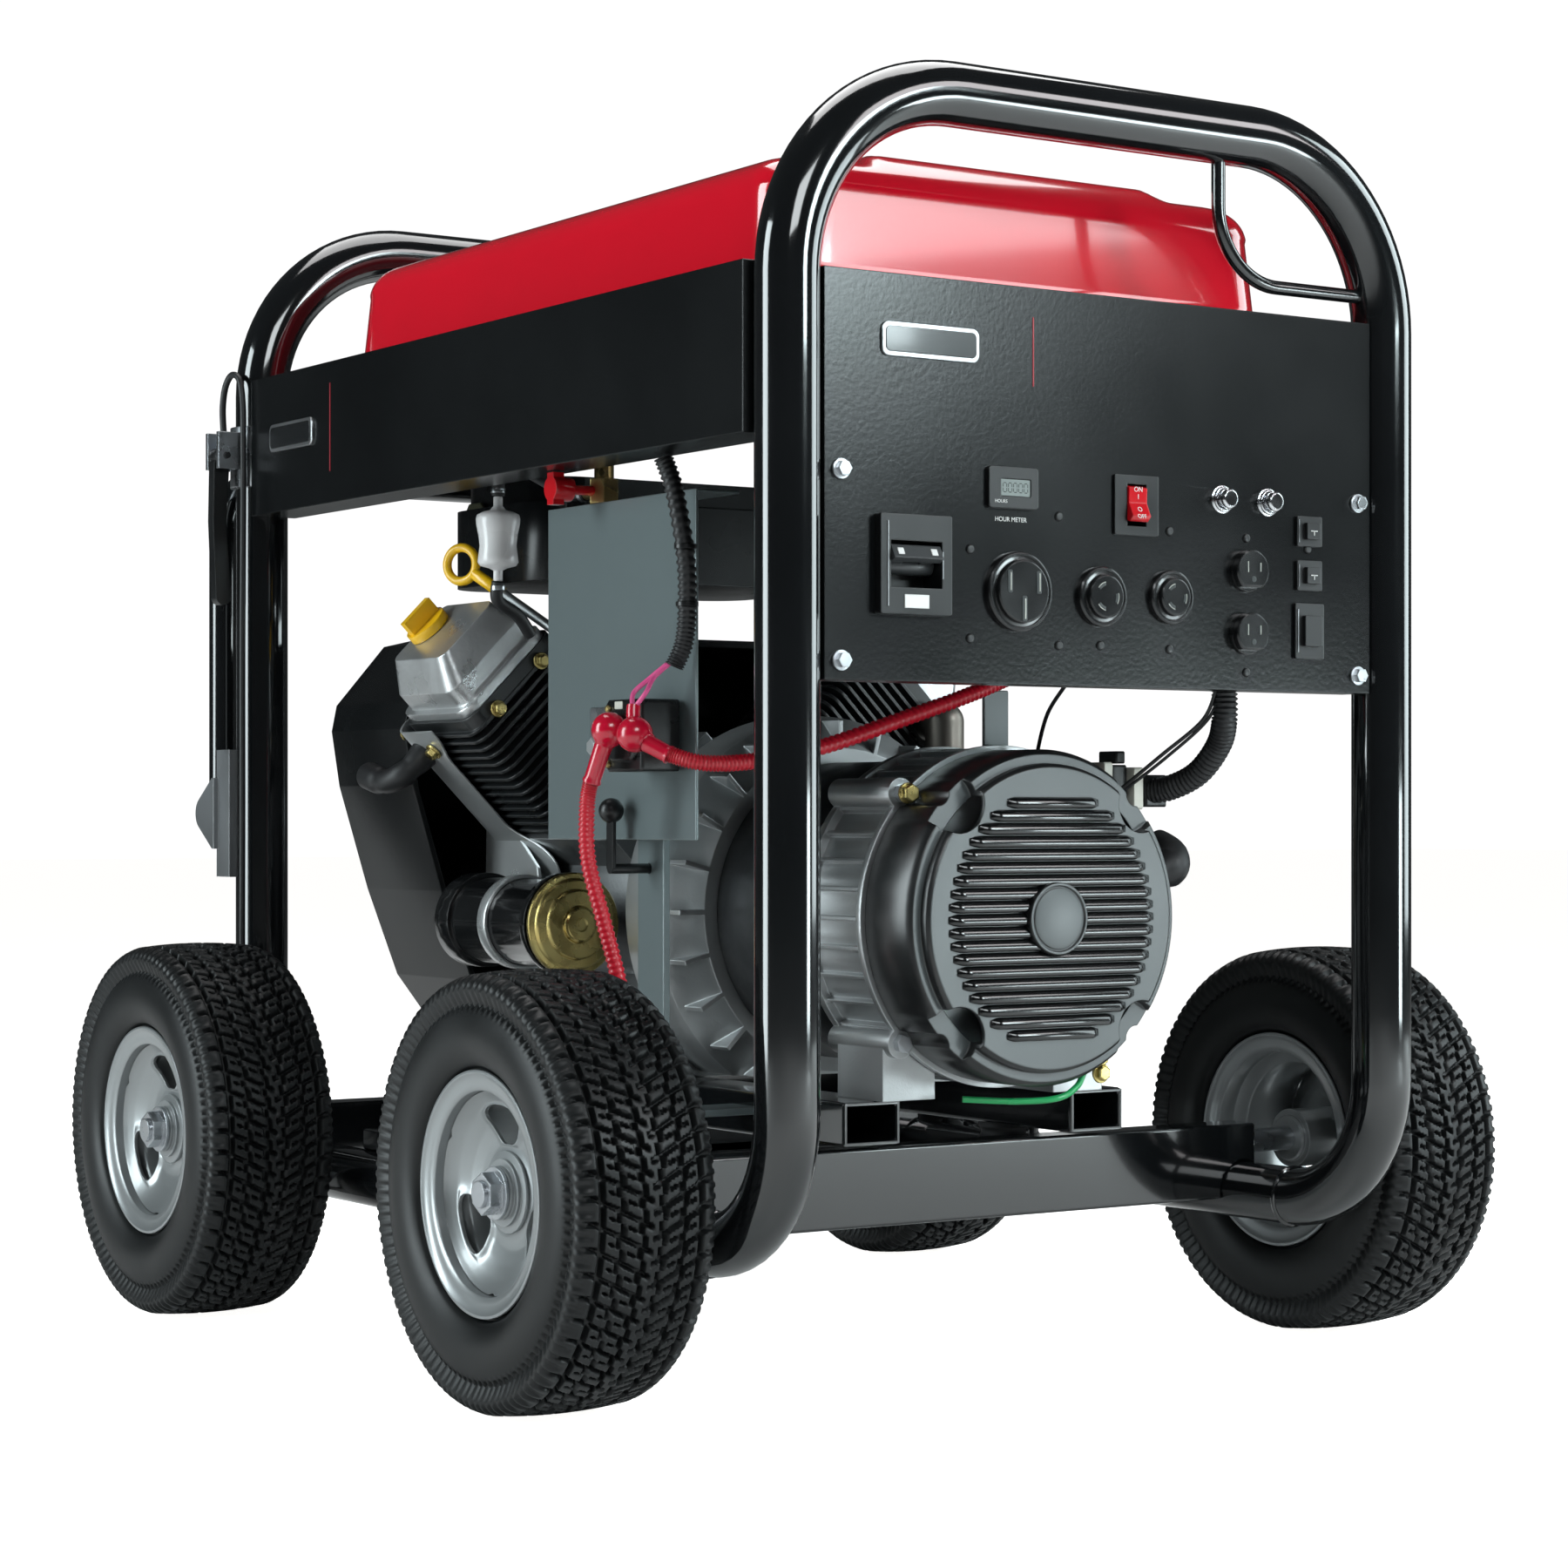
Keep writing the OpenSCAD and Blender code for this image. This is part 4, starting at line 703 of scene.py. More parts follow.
legends = [("hour_meter_legend", "HOUR METER", -0.097, 0.6645, 0.0036, 0.0001, "frame", 0),
           ("hours_legend", "HOURS", -0.109, 0.6775, 0.0026, 0.0041, "frame", 0),
           ("rocker_on", "ON", rocker_x, rocker_z + 0.0118, 0.0040, 0.0044, "power_rocker", 2),
           ("rocker_i", "I", rocker_x, rocker_z + 0.0062, 0.0040, 0.0042, "power_rocker", 2),
           ("rocker_o", "O", rocker_x, rocker_z - 0.0035, 0.0042, 0.0064, "power_rocker", -26),
           ("rocker_off", "OFF", rocker_x, rocker_z - 0.0090, 0.0038, 0.0091, "power_rocker", -26)]
for name, text, x, z, height, out, body, lean in legends:
    lettering(name, text, x, z, height, face_y - out, white_ink, body, lean)
chrome = finished("chrome", (0.72, 0.73, 0.75), 0.06, 0.14, metallic=1.0, coarse=60, fine_scale=300,
                  bump=0.03)
dress(chrome, "button_collars", "reset_button_a", "reset_button_b", bevel=0.0006)

# --- Circuit breakers -----------------------------------------------------------------------------
# A two-pole main breaker with a tie bar across its toggles, and three small breakers with rocker
# faces. Their white windows and ticks are moulded in.

handle_grey = finished("handle_grey", (0.045, 0.048, 0.05), 0.28, 0.38, fine_scale=500, bump=0.05)
dress(handle_grey, "breaker_handle", bevel=0.0007)
ticks = [((-0.189, face_y - 0.0081, 0.600), 22, 10)]
for z in (0.669, 0.634):
    ticks += [((0.199, face_y - 0.0071, z), 7, 0.8), ((0.199, face_y - 0.0071, z - 0.0016), 0.8, 4)]
mesh_piece("breaker_windows", join([prism(rounded_outline(w, h, 0.3, 3), p, 0.0004) for p, w, h in ticks]),
           white_ink)
edges = [((-0.2145, face_y - 0.0081, 0.627), 0.9, 62), ((-0.1655, face_y - 0.0081, 0.627), 0.7, 20),
         ((0.1865, face_y - 0.0032, 0.669), 0.5, 18), ((0.1865, face_y - 0.0032, 0.634), 0.5, 18),
         ((0.1855, face_y - 0.0032, 0.590), 0.9, 34)]
trim = [prism(rounded_outline(w, h, 0.2, 3), p, 0.0005) for p, w, h in edges]
mesh_piece("breaker_edge_trim", join(trim), die_cast)
bar_low, bar_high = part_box("breaker_handle")
tilt = math.radians(28)
bar_face = np.array([0, -math.cos(tilt), math.sin(tilt)])
bar_up = np.array([0, math.sin(tilt), math.cos(tilt)])
pivot = np.array([(bar_low.x + bar_high.x) / 2, face_y + 0.008, 0.627])
marks = [prism(rounded_outline(5.5, 5.5, 0.4, 3), pivot + bar_face * 0.0195 + X * x, 0.0004, face=bar_face,
               up=bar_up)
         for x in (-0.015, 0.015)]
mesh_piece("tie_bar_marks", join(marks), white_ink, body="breaker_handle")

# --- Receptacles ----------------------------------------------------------------------------------
# Moulded thermoset bodies with a raised ring. The big one takes three straight blades, two take
# locking blades on an arc, and the duplex pair has two slots and a round earth above a flat.

contact = finished("contact_metal", (0.45, 0.44, 0.40), 0.25, 0.4, metallic=1.0, fine_scale=700, bump=0.04)
bakelite = finished("bakelite", (0.007, 0.0075, 0.008), 0.16, 0.26, coat=0.3, coarse=20, fine_scale=500,
                    bump=0.05)


def arc_slot(outer, inner, t):
    """The outline between two arcs r (cos t, sin t): out along one and back along the other."""
    return np.concatenate([np.stack([r * np.cos(u), r * np.sin(u)], axis=1)
                           for r, u in ((outer, t), (inner, t[::-1]))])


# The slot and earth openings are flat dark patches on the face: painted shade standing for the holes.
shells, blades, slot_shade_patches = [], [], []
for x, z, d in ((-0.091, 0.611, 60), (-0.012, 0.610, 46), (0.056, 0.612, 42)):
    r = d / 2
    face = [(0.05, 9.2), (r - 7.5, 9.2), (r - 6.6, 8.4), (r - 6.2, 4.6), (r - 3.6, 4.2), (r - 3.0, 5.2),
            (r - 1.4, 5.2), (r - 0.2, 4.2), (r, 3.2), (r, 0), (0.05, 0)]
    shells.append(lathe(face[::-1], (x, face_y, z), -Y, 64))
for x, z, w, h in ((-0.1045, 0.618, 2.4, 15), (-0.0775, 0.618, 2.4, 15), (-0.091, 0.598, 2.6, 17)):
    slot_shade_patches.append(prism(rounded_outline(w + 2.2, h + 2.2, 1.2, 4), (x, face_y - 0.0088, z), 0.0007, 0.0002))
    blades.append(prism(rounded_outline(w * 0.45, h * 0.9, 0.3, 3), (x + 0.0006, face_y - 0.0092, z),
                        0.0005))
for cx, cz, ring in ((-0.012, 0.610, 9.6), (0.056, 0.612, 8.6)):
    for start in (100, 215, 330):
        t = np.radians(np.linspace(start, start + 44, 12))
        slot_shade_patches.append(prism(arc_slot(ring + 1.5, ring - 1.5, t), (cx, face_y - 0.0088, cz), 0.0006))
        blades.append(prism(arc_slot(ring + 1.5, ring + 1.0, t), (cx, face_y - 0.0092, cz), 0.0004))
for z in (0.635, 0.586):
    t = np.radians(np.linspace(-52, 232, 40))
    d_face = np.stack([16.4 * np.cos(t), np.maximum(16.4 * np.sin(t), -12.5)], axis=1)
    shells.append(prism(d_face, (0.134, face_y, z), 0.0095, 0.0012))
    shells.append(prism(circle_outline(33, 48), (0.134, face_y, z), 0.0030, 0.0008))
    for x, w, h in ((-6.4, 2.2, 8.5), (6.4, 2.2, 7.0)):
        slot_shade_patches.append(prism(rounded_outline(w, h, 0.5, 3), (0.134 + x / 1000, face_y - 0.0095, z + 0.003),
                           0.0002))
        blades.append(prism(rounded_outline(0.7, h, 0.2, 3),
                            (0.1345 + x / 1000, face_y - 0.0096, z + 0.003), 0.0003))
    slot_shade_patches.append(prism(circle_outline(4.8, 20), (0.134, face_y - 0.0095, z - 0.0065), 0.0002))
mesh_piece("receptacle_faces", join(shells), bakelite, ("outlets",), crease=30)
mesh_piece("receptacle_slot_shade", join(slot_shade_patches), segment_and_slot_shade_dark)
mesh_piece("receptacle_contacts", join(blades), contact)

# --- Fuel tank and cap ----------------------------------------------------------------------------
# Two steel pressings seam welded along a flange and painted signal red: a loaf with big soft edges,
# and a shallow raised panel along its top that carries the filler neck. The cap is ribbed plastic.

tank_red = finished("tank_red", (0.78, 0.005, 0.022), 0.12, 0.20, coat=1.0, coarse=5, fine_scale=60,
                    bump=0.02, depth=0.0006, shade=(0.66, 0.004, 0.018))
tank_low, tank_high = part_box("tank")
tank_middle_y = (tank_low.y + tank_high.y) / 2
tank_half = np.array([0.244, 0.358])
flange_half = np.array([(tank_high.x - tank_low.x) / 2, (tank_high.y - tank_low.y) / 2])


def perimeter(half_x, half_y, radius, count):
    """Evenly spaced points round a rounded rectangle: straight sides joined by quarter circles."""
    outline = rounded_outline(2 * half_x, 2 * half_y, radius, 14)
    outline = np.concatenate([outline, outline[:1]])
    length = np.concatenate([[0], np.cumsum(np.linalg.norm(np.diff(outline, axis=0), axis=1))])
    s = np.linspace(0, length[-1], count, endpoint=False)
    return np.stack([np.interp(s, length, outline[:, k]) for k in (0, 1)], axis=1)


def smooth_step(t):
    """3 t^2 - 2 t^3 of t held to 0..1."""
    t = np.clip(t, 0, 1)
    return t * t * (3 - 2 * t)


def tank_points(count=420):
    """Rings up the tank: under the flange and over it, up the drafted wall, round the shoulder on a
    quarter circle, then in over the top to the middle, where z = shoulder + ridge * S(x) * S(y)."""
    z0, wall, shoulder_r, ridge = tank_low.z, 0.096, 0.030, 0.010
    rings = []
    for inset, z in ((0.030, 0.0), (0.0006, 0.0), (0.0, 0.0012), (0.0, 0.0022), (0.0008, 0.0030),
                     (0.009, 0.0032)):
        rings.append((perimeter(*(flange_half - inset), max(0.030 - inset, 0.012), count), z0 + z))
    rings.append((perimeter(*(tank_half + 0.0015), 0.041, count), z0 + 0.0034))
    for t in np.linspace(0, 1, 10):
        rings.append((perimeter(*(tank_half - 0.005 * t), 0.040, count),
                      z0 + 0.005 + t * (wall - shoulder_r - 0.005)))
    for t in np.radians(np.linspace(8, 90, 14)):
        inset = 0.005 + shoulder_r * (1 - np.cos(t))
        rings.append((perimeter(*(tank_half - inset), max(0.040 - inset * 0.5, 0.02), count),
                      z0 + wall - shoulder_r * (1 - np.sin(t))))
    last = rings[-1][0]
    for t in np.linspace(0.03, 0.985, 34):
        rings.append((last * (1 - t), z0 + wall))
    points = np.array([np.column_stack([xy, np.full(count, z)]) for xy, z in rings])
    across, along, top = np.abs(points[..., 0]), np.abs(points[..., 1]), points[..., 2] > z0 + 0.055
    lift = smooth_step((0.158 - across) / 0.030) * smooth_step((0.345 - along) / 0.030)
    rise = smooth_step((points[..., 2] - z0 - 0.050) / (wall - 0.050))
    points[..., 2] += np.where(top, ridge * lift * rise, 0)
    points[..., 1] += tank_middle_y
    return points


rings = tank_points()
count = rings.shape[1]
points = rings.reshape(-1, 3)
faces = grid_faces(len(rings), count, wrap_columns=True)
faces += [list(range(count))[::-1], list(range(len(points) - count, len(points)))]
mesh_piece("tank_shell", (points, faces), tank_red, ("tank",), crease=45)
neck = above("fuel_cap", 0.0135)
collar = [(29.5, -12), (33, -12), (33, -4), (36, -2), (36, 0), (29.5, 0)]
mesh_piece("filler_neck", lathe(collar, neck, Z, 64), chrome, crease=30)
dress(black_plastic, "fuel_cap", bevel=0.0012)
strip = [prism(rounded_outline(2 * tank_half[0] * 1000 + 4, 2 * tank_half[1] * 1000 + 4, 42, 12),
               (0, tank_middle_y, tank_low.z - 0.0080), 0.0078, face=(0, 0, 1), up=(0, 1, 0))]
mesh_piece("tank_seat_rubber", join(strip), mount_rubber, crease=30)

# --- Fuel valve, filter and hoses -----------------------------------------------------------------
# A brass valve with a red T-knob, an in-line filter in a clear white cup, and rubber hose with
# spring clips between them and the carburettor.

brass = finished("brass", (0.55, 0.42, 0.18), 0.25, 0.4, metallic=1.0, fine_scale=500, bump=0.06)
dress(brass, "fuel_valve", bevel=0.0008)
dress(red_plastic, "fuel_knob", bevel=0.0025)
filter_white = finished("filter_white", (0.78, 0.77, 0.76), 0.22, 0.34, coat=0.3, coarse=20, fine_scale=300,
                        bump=0.04, shade=(0.68, 0.66, 0.67))
filter_base = above("fuel_filter", 0.018)
cup = [(0.1, -18), (3.6, -18), (4, -17), (4, -9), (8, -7), (15.5, -5), (17.5, -2), (16.8, 4), (15.8, 12),
       (16.6, 20), (18.6, 30), (19, 35), (18, 38.5), (13, 41), (7, 42.5), (5, 45), (4, 46), (4, 53),
       (3.6, 54), (0.1, 54)]
mesh_piece("filter_cup", lathe(cup, filter_base, Z, 56),
           filter_white, ("fuel_filter",), crease=50)
hose_rubber = finished("hose_rubber", (0.009, 0.009, 0.010), 0.42, 0.56, fine_scale=450, bump=0.1)
valve_at = np.array([-0.238, -0.128, 0.706])
hose_knots = [valve_at + [0, 0.028, 0], valve_at + [0, 0.060, 0.004], [-0.237, -0.010, 0.730],
              [-0.236, 0.036, 0.746], [-0.236, 0.050, 0.738], filter_base + [0, 0, 0.0545]]
lower_knots = [filter_base + [0, 0, -0.0185], filter_base + [0.002, 0.004, -0.034], [-0.212, 0.062, 0.616],
               [-0.196, 0.068, 0.600]]
loom_knots = [[-0.275, -0.280, 0.718], [-0.268, -0.286, 0.690], [-0.261, -0.290, 0.640],
              [-0.260, -0.290, 0.600], [-0.262, -0.288, 0.575], [-0.268, -0.284, 0.558]]
loom_path = curve_through(loom_knots, 140)


def ribbed(radius, depth, count, dip=0.6):
    """Radii along a corrugated sleeve: two path steps on each rib and two in each dip."""
    return radius + depth * np.where(np.arange(count) % 4 < 2, 1.0, -dip)


parts = [swept(curve_through(hose_knots, 70), 0.0055), swept(curve_through(lower_knots, 40), 0.0055),
         swept(loom_path, ribbed(0.0068, 0.0008, 140))]
mesh_piece("fuel_hoses_and_loom", join(parts), hose_rubber, ("hoses",), crease=60)
clips = [lathe([(5.6, -2), (6.3, -2), (6.3, 2), (5.6, 2)], p, a, 32)
         for p, a in ((filter_base + [0, 0, 0.059], Z), (filter_base + [0, 0, -0.024], Z),
                      (valve_at + [0, 0.033, 0.0005], Y))]
mesh_piece("hose_clips", join(clips), zinc, crease=30)

# --- Alternator -----------------------------------------------------------------------------------
# Ribbed die cast bells clamp the laminated stator with four long bolts. Over the end is a pressed
# cover with nineteen louvres and a snap-in centre cap.

cast_bright = finished("cast_bright", (0.54, 0.555, 0.56), 0.33, 0.5, metallic=0.9, coarse=14,
                       fine_scale=420, bump=0.28, depth=0.0004, shade=(0.42, 0.435, 0.44),
                       edge=(0.74, 0.76, 0.77))
cover_satin = finished("cover_satin", (0.006, 0.0065, 0.007), 0.32, 0.40, coarse=6, fine_scale=300,
                       bump=0.05, specular=0.8)
# Faces that look straight forward get a grey-green base colour instead of black: a painted reflection of
# the light card in front of the cover, also on the centre cap.
cover_tree = cover_satin.node_tree
facing = cover_tree.nodes.new("ShaderNodeNewGeometry")
parts_of = cover_tree.nodes.new("ShaderNodeSeparateXYZ")
cover_tree.links.new(facing.outputs["Normal"], parts_of.inputs[0])
forward_faces_mask = math_node(cover_tree, "LESS_THAN", parts_of.outputs["Y"], -0.9)
painted_front_reflection = colour_mix(cover_tree, (0.006, 0.0065, 0.007), (0.062, 0.072, 0.074), forward_faces_mask)
cover_tree.links.new(painted_front_reflection.outputs["Result"], cover_tree.nodes["Principled BSDF"].inputs["Base Color"])
louvre_black = finished("louvre_black", (0.003, 0.0034, 0.0036), 0.14, 0.22, coat=0.6, coarse=8,
                        fine_scale=200, bump=0.04)
dress(cast_bright, "end_bell", "adapter_bell", bevel=0.0015)
dress(cover_satin, "alternator_cover", bevel=0.0018)
dark_steel = finished("stator_steel", (0.05, 0.052, 0.055), 0.4, 0.55, metallic=0.8, coarse=40,
                      fine_scale=700, bump=0.12, shade=(0.03, 0.032, 0.034))
dress(dark_steel, "stator", bevel=0.0008)
copper = finished("copper_winding", (0.45, 0.20, 0.09), 0.3, 0.5, metallic=0.9, coarse=50, fine_scale=600,
                  bump=0.2)
dress(copper, "rotor")
cover_low, cover_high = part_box("alternator_cover")
shaft_z = (cover_low.z + cover_high.z) / 2
cover_y = cover_low.y
hood = np.array([(4.2, 0), (3.4, 2.6), (1.4, 4.8), (-1.2, 5.6), (-3.2, 5.0), (-4.0, 3.6), (-4.3, 1.2),
                 (-3.2, 1.0), (-2.6, 3.0), (-0.8, 4.0), (1.0, 3.4), (2.4, 1.6), (3.0, 0)]) / 1000
hood[:, 0] *= 1.13


def louvre(half_width, z):
    """The hood's (up, out) section carried across the plate: x runs over the width, and near each
    end the section is scaled by the sine of a short ramp, so the hood closes down to the plate."""
    x = half_width * np.concatenate([[-1], -1 + 0.11 * np.linspace(0.1, 1, 7) * (0.10 / half_width) ** 0.5,
                                     1 - 0.11 * np.linspace(1, 0.1, 7) * (0.10 / half_width) ** 0.5, [1]])
    ramp = np.sin(np.clip((half_width - np.abs(x)) / 0.010, 0.06, 1) * np.pi / 2)
    points = np.stack([np.repeat(x[:, None], len(hood), axis=1),
                       cover_y - hood[None, :, 1] * ramp[:, None],
                       z + hood[None, :, 0] * (0.55 + 0.45 * ramp[:, None])], axis=2)
    n = len(hood)
    faces = grid_faces(len(x), n, wrap_columns=True)
    faces += [list(range(n))[::-1], list(range(len(x) * n - n, len(x) * n))]
    return points.reshape(-1, 3), faces


louvres = [louvre(math.sqrt(0.1005 ** 2 - (i * 0.010) ** 2), shaft_z + i * 0.010) for i in range(-9, 10)]
mesh_piece("cover_louvres", join(louvres), louvre_black, crease=40)
centre_cap = [(0.1, 8.6), (20, 8.4), (23.5, 7.8), (24.2, 7.0), (25.0, 7.0), (26.0, 8.4), (27.6, 8.4),
              (28.4, 7.2), (28.6, 0), (0.1, 0)]
mesh_piece("cover_centre_cap", lathe(centre_cap[::-1], (0, cover_y, shaft_z), -Y, 72),
           cover_satin, crease=30)

# --- Alternator leads -----------------------------------------------------------------------------
# The output leads drop from the panel in corrugated loom to a pair of plug-in connectors, a rubber
# elbow covers the brush leads, and a green and yellow lead earths the bell to the skid.

loom_down = curve_through([[0.150, -0.440, 0.546], [0.150, -0.440, 0.520], [0.154, -0.428, 0.500],
                           [0.152, -0.405, 0.478], [0.142, -0.380, 0.466], [0.130, -0.362, 0.464]], 150)
mesh_piece("output_loom", swept(loom_down, ribbed(0.0095, 0.0009, 150, 0.7), 24),
           hose_rubber, crease=60)
leads = [swept(curve_through(k, 40), radius, 10) for radius, k in (
    (0.0016, [[0.140, -0.442, 0.545], [0.136, -0.430, 0.520], [0.118, -0.400, 0.492],
              [0.096, -0.370, 0.462]]),
    (0.0016, [[-0.010, -0.440, 0.545], [0.004, -0.400, 0.525], [0.018, -0.370, 0.500],
              [0.030, -0.350, 0.480]]),
    (0.0014, [[0.143, -0.444, 0.545], [0.139, -0.432, 0.520], [0.121, -0.402, 0.490],
              [0.099, -0.372, 0.462]]))]
mesh_piece("sensing_leads", join(leads), cable_sleeve, crease=60)
connector_black = [((0.078, -0.338, 0.474), 12, 24), ((0.103, -0.345, 0.470), 15, 30),
                   ((0.137, -0.350, 0.464), 22, 26), ((0.104, -0.345, 0.491), 10, 10)]
mesh_piece(
    "connector_shells",
    join([prism(rounded_outline(w, h, 1.5, 4), p, 0.022, 0.0015) for p, w, h in connector_black]),
    black_plastic, crease=30)
ivory = finished("ivory_nylon", (0.70, 0.68, 0.60), 0.35, 0.45, fine_scale=500, bump=0.05)
connector_white = [((0.0895, -0.343, 0.474), 9, 26), ((0.1165, -0.348, 0.466), 10, 34)]
mesh_piece(
    "connector_plugs",
    join([prism(rounded_outline(w, h, 1.2, 4), p, 0.026, 0.0012) for p, w, h in connector_white]),
    ivory, crease=30)
elbow = curve_through([[0.118, -0.380, 0.398], [0.132, -0.380, 0.399], [0.146, -0.378, 0.404],
                       [0.154, -0.366, 0.414], [0.154, -0.350, 0.424]], 30)
mesh_piece(
    "brush_lead_boot",
    swept(elbow, np.interp(np.arange(30), [0, 6, 12, 20, 29], [0.009, 0.012, 0.0165, 0.0150, 0.010]), 28),
    hose_rubber, crease=60)
green_lead = finished("green_lead", (0.01, 0.36, 0.10), 0.25, 0.4, coat=0.3, fine_scale=400, bump=0.05)
mesh_piece(
    "earth_lead",
    swept(curve_through([[0.066, -0.372, 0.242], [0.056, -0.380, 0.241], [0.042, -0.388, 0.230],
                         [0.020, -0.392, 0.222], [-0.010, -0.380, 0.220], [-0.050, -0.360, 0.222]], 60),
          0.0026, 14),
    green_lead)
stay_steel = finished("stay_steel", (0.20, 0.22, 0.225), 0.35, 0.48, metallic=0.3, coarse=10,
                      fine_scale=350, bump=0.12)
mesh_piece("panel_stay", prism(rounded_outline(24, 92, 1.0, 3), (0.004, -0.330, 0.498), 0.003, 0.0006),
           stay_steel, crease=30)
gold_zinc = finished("gold_zinc", (0.62, 0.44, 0.14), 0.2, 0.34, metallic=1.0, coarse=60, fine_scale=500,
                     bump=0.08, shade=(0.50, 0.45, 0.20))


def hex_bolt(place, face, size=13, head=6.5, flange=16.5):
    """A washer face and a hexagonal head with its corners turned off, standing on place."""
    washer = lathe([(0.1, 0), (flange / 2, 0), (flange / 2, 1.4), (flange / 2 - 0.6, 2.0), (0.1, 2.0)],
                   place, face, 28)
    up = Z if abs(np.dot(face, Z)) < 0.7 else Y
    up = np.asarray(up) - np.dot(up, face) * np.asarray(face, float)
    up /= np.linalg.norm(up)
    t = np.radians(np.arange(0, 360, 60) + 30)
    hexagon = size / math.sqrt(3) * np.stack([np.cos(t), np.sin(t)], axis=1)
    body = prism(hexagon, np.asarray(place) + np.asarray(face, float) * 0.0018, head / 1000, 0.0012,
                 face=face, up=up)
    return join([washer, body])


bolts = [hex_bolt((-0.0976, -0.352, shaft_z + 0.0976), (0, -1, 0)),
         hex_bolt((0.078, -0.370, 0.250), (0, -1, 0), 11, 5),
         hex_bolt((0.080, -0.370, 0.238), (0, -1, 0), 11, 5),
         hex_bolt((0.0976, -0.352, shaft_z + 0.0976), (0, -1, 0))]
mesh_piece("alternator_gold_bolts", join(bolts), gold_zinc, crease=30)

# --- Engine block and cylinders -------------------------------------------------------------------
# A die cast crankcase carries two finned cylinders at right angles under cast rocker covers. A
# black pressed housing at the back ducts the fan's air to the fins past a bare sheet baffle.

engine_cast = finished("engine_cast", (0.40, 0.41, 0.415), 0.30, 0.52, metallic=0.95, coarse=18,
                       fine_scale=380, bump=0.35, depth=0.0005, shade=(0.20, 0.21, 0.215),
                       edge=(0.70, 0.72, 0.73))
rocker_cast = finished("rocker_cast", (0.74, 0.755, 0.76), 0.24, 0.44, metallic=0.82, coarse=26,
                       fine_scale=260, bump=0.30, depth=0.0006, shade=(0.46, 0.475, 0.48),
                       edge=(0.92, 0.94, 0.95), edge_reach=0.002)
fin_black = finished("fin_paint", (0.010, 0.011, 0.0115), 0.24, 0.38, coarse=20, fine_scale=260, bump=0.15,
                     shade=(0.018, 0.020, 0.021), edge=(0.10, 0.105, 0.11), edge_reach=0.001)
duct_black = finished("duct_paint", (0.004, 0.0044, 0.0048), 0.20, 0.30, coarse=5, fine_scale=260,
                      bump=0.06, shade=(0.006, 0.007, 0.0075), specular=0.3)
dress(engine_cast, "crankcase", bevel=0.0012)
dress(rocker_cast, "rocker_covers", bevel=0.0018)
dress(fin_black, "cylinders", bevel=0.0006)
dress(duct_black, "blower_housing", "air_cleaner", bevel=0.0020)
dress(engine_cast, "flywheel")
AXIS_LEFT = np.array([-1.0, 0, 1.0]) / math.sqrt(2)
OUT_LEFT = np.array([-1.0, 0, -1.0]) / math.sqrt(2)
crank = np.array([0, 0, shaft_z])
bank_y = 0.154


def baffle(side, count=40, across=44, thick=0.0016):
    """A sheet beside one cylinder. Its section runs back from a front edge, round a 15 mm bend and
    in behind the fins. Up the cylinder (a) the front edge sweeps forward below the fins:
    y = y0 - 0.050 * S((0.168 - a) / 0.045), and the skirt flares out by 0.018 * S((0.15 - a) / 0.05)."""
    mirror = np.array([side, 1, 1])
    rows = []
    for a in np.linspace(0.104, 0.284, count):
        front = bank_y + 0.010 - 0.050 * smooth_step((0.168 - a) / 0.045)
        front -= 0.012 * smooth_step((a - 0.245) / 0.03)
        flare = 0.018 * smooth_step((0.150 - a) / 0.050)
        section = [(0.0675, y) for y in np.linspace(front, bank_y + 0.052, across - 18)]
        section += [(0.0525 + 0.015 * math.cos(t), bank_y + 0.052 + 0.015 * math.sin(t)) for t in
                    np.radians(np.linspace(8, 90, 10))]
        section += [(n, bank_y + 0.067) for n in np.linspace(0.046, -0.030, 8)]
        rows.append([(crank + AXIS_LEFT * a + OUT_LEFT * (n + flare) + Y * y) * mirror for n, y in section])
    outer = np.array(rows)
    inward = np.zeros_like(outer)
    inward[...] = -OUT_LEFT * mirror * thick
    inward[:, across - 18:] += -Y * thick * 0.7
    points = np.concatenate([outer, (outer + inward)[:, ::-1]], axis=1)
    faces = grid_faces(count, 2 * across, wrap_columns=True)
    for row in (0, count - 1):
        start = row * 2 * across
        faces += [[start + k, start + k + 1, start + 2 * across - 2 - k, start + 2 * across - 1 - k]
                  for k in range(across - 1)]
    return points.reshape(-1, 3), faces


bare_sheet = finished("bare_sheet", (0.70, 0.72, 0.725), 0.24, 0.34, metallic=0.72, coarse=7,
                      fine_scale=500, bump=0.06, shade=(0.55, 0.57, 0.575))
mesh_piece("cylinder_baffles", join([baffle(1), baffle(-1)]), bare_sheet, crease=40)
cover_bolts = []
for side in (1, -1):
    flip = np.array([side, 1, 1])
    for a, y in ((0.274, bank_y - 0.0625), (0.150, bank_y - 0.0625)):
        for n in (0.030, -0.030):
            cover_bolts.append(hex_bolt((crank + AXIS_LEFT * a + OUT_LEFT * n + Y * y) * flip, (0, -1, 0),
                                        10, 6, 15))
    for a, n, y, face, head in ((0.262, 0.0685, 0.020, OUT_LEFT, 5), (0.274, 0.0560, 0.069, Y, 6)):
        place = crank + AXIS_LEFT * a + OUT_LEFT * n + Y * (bank_y + y)
        cover_bolts.append(hex_bolt(place * flip, face * flip, 10, head, 16))
mesh_piece("engine_gold_bolts", join(cover_bolts), gold_zinc, crease=30)
boots = []
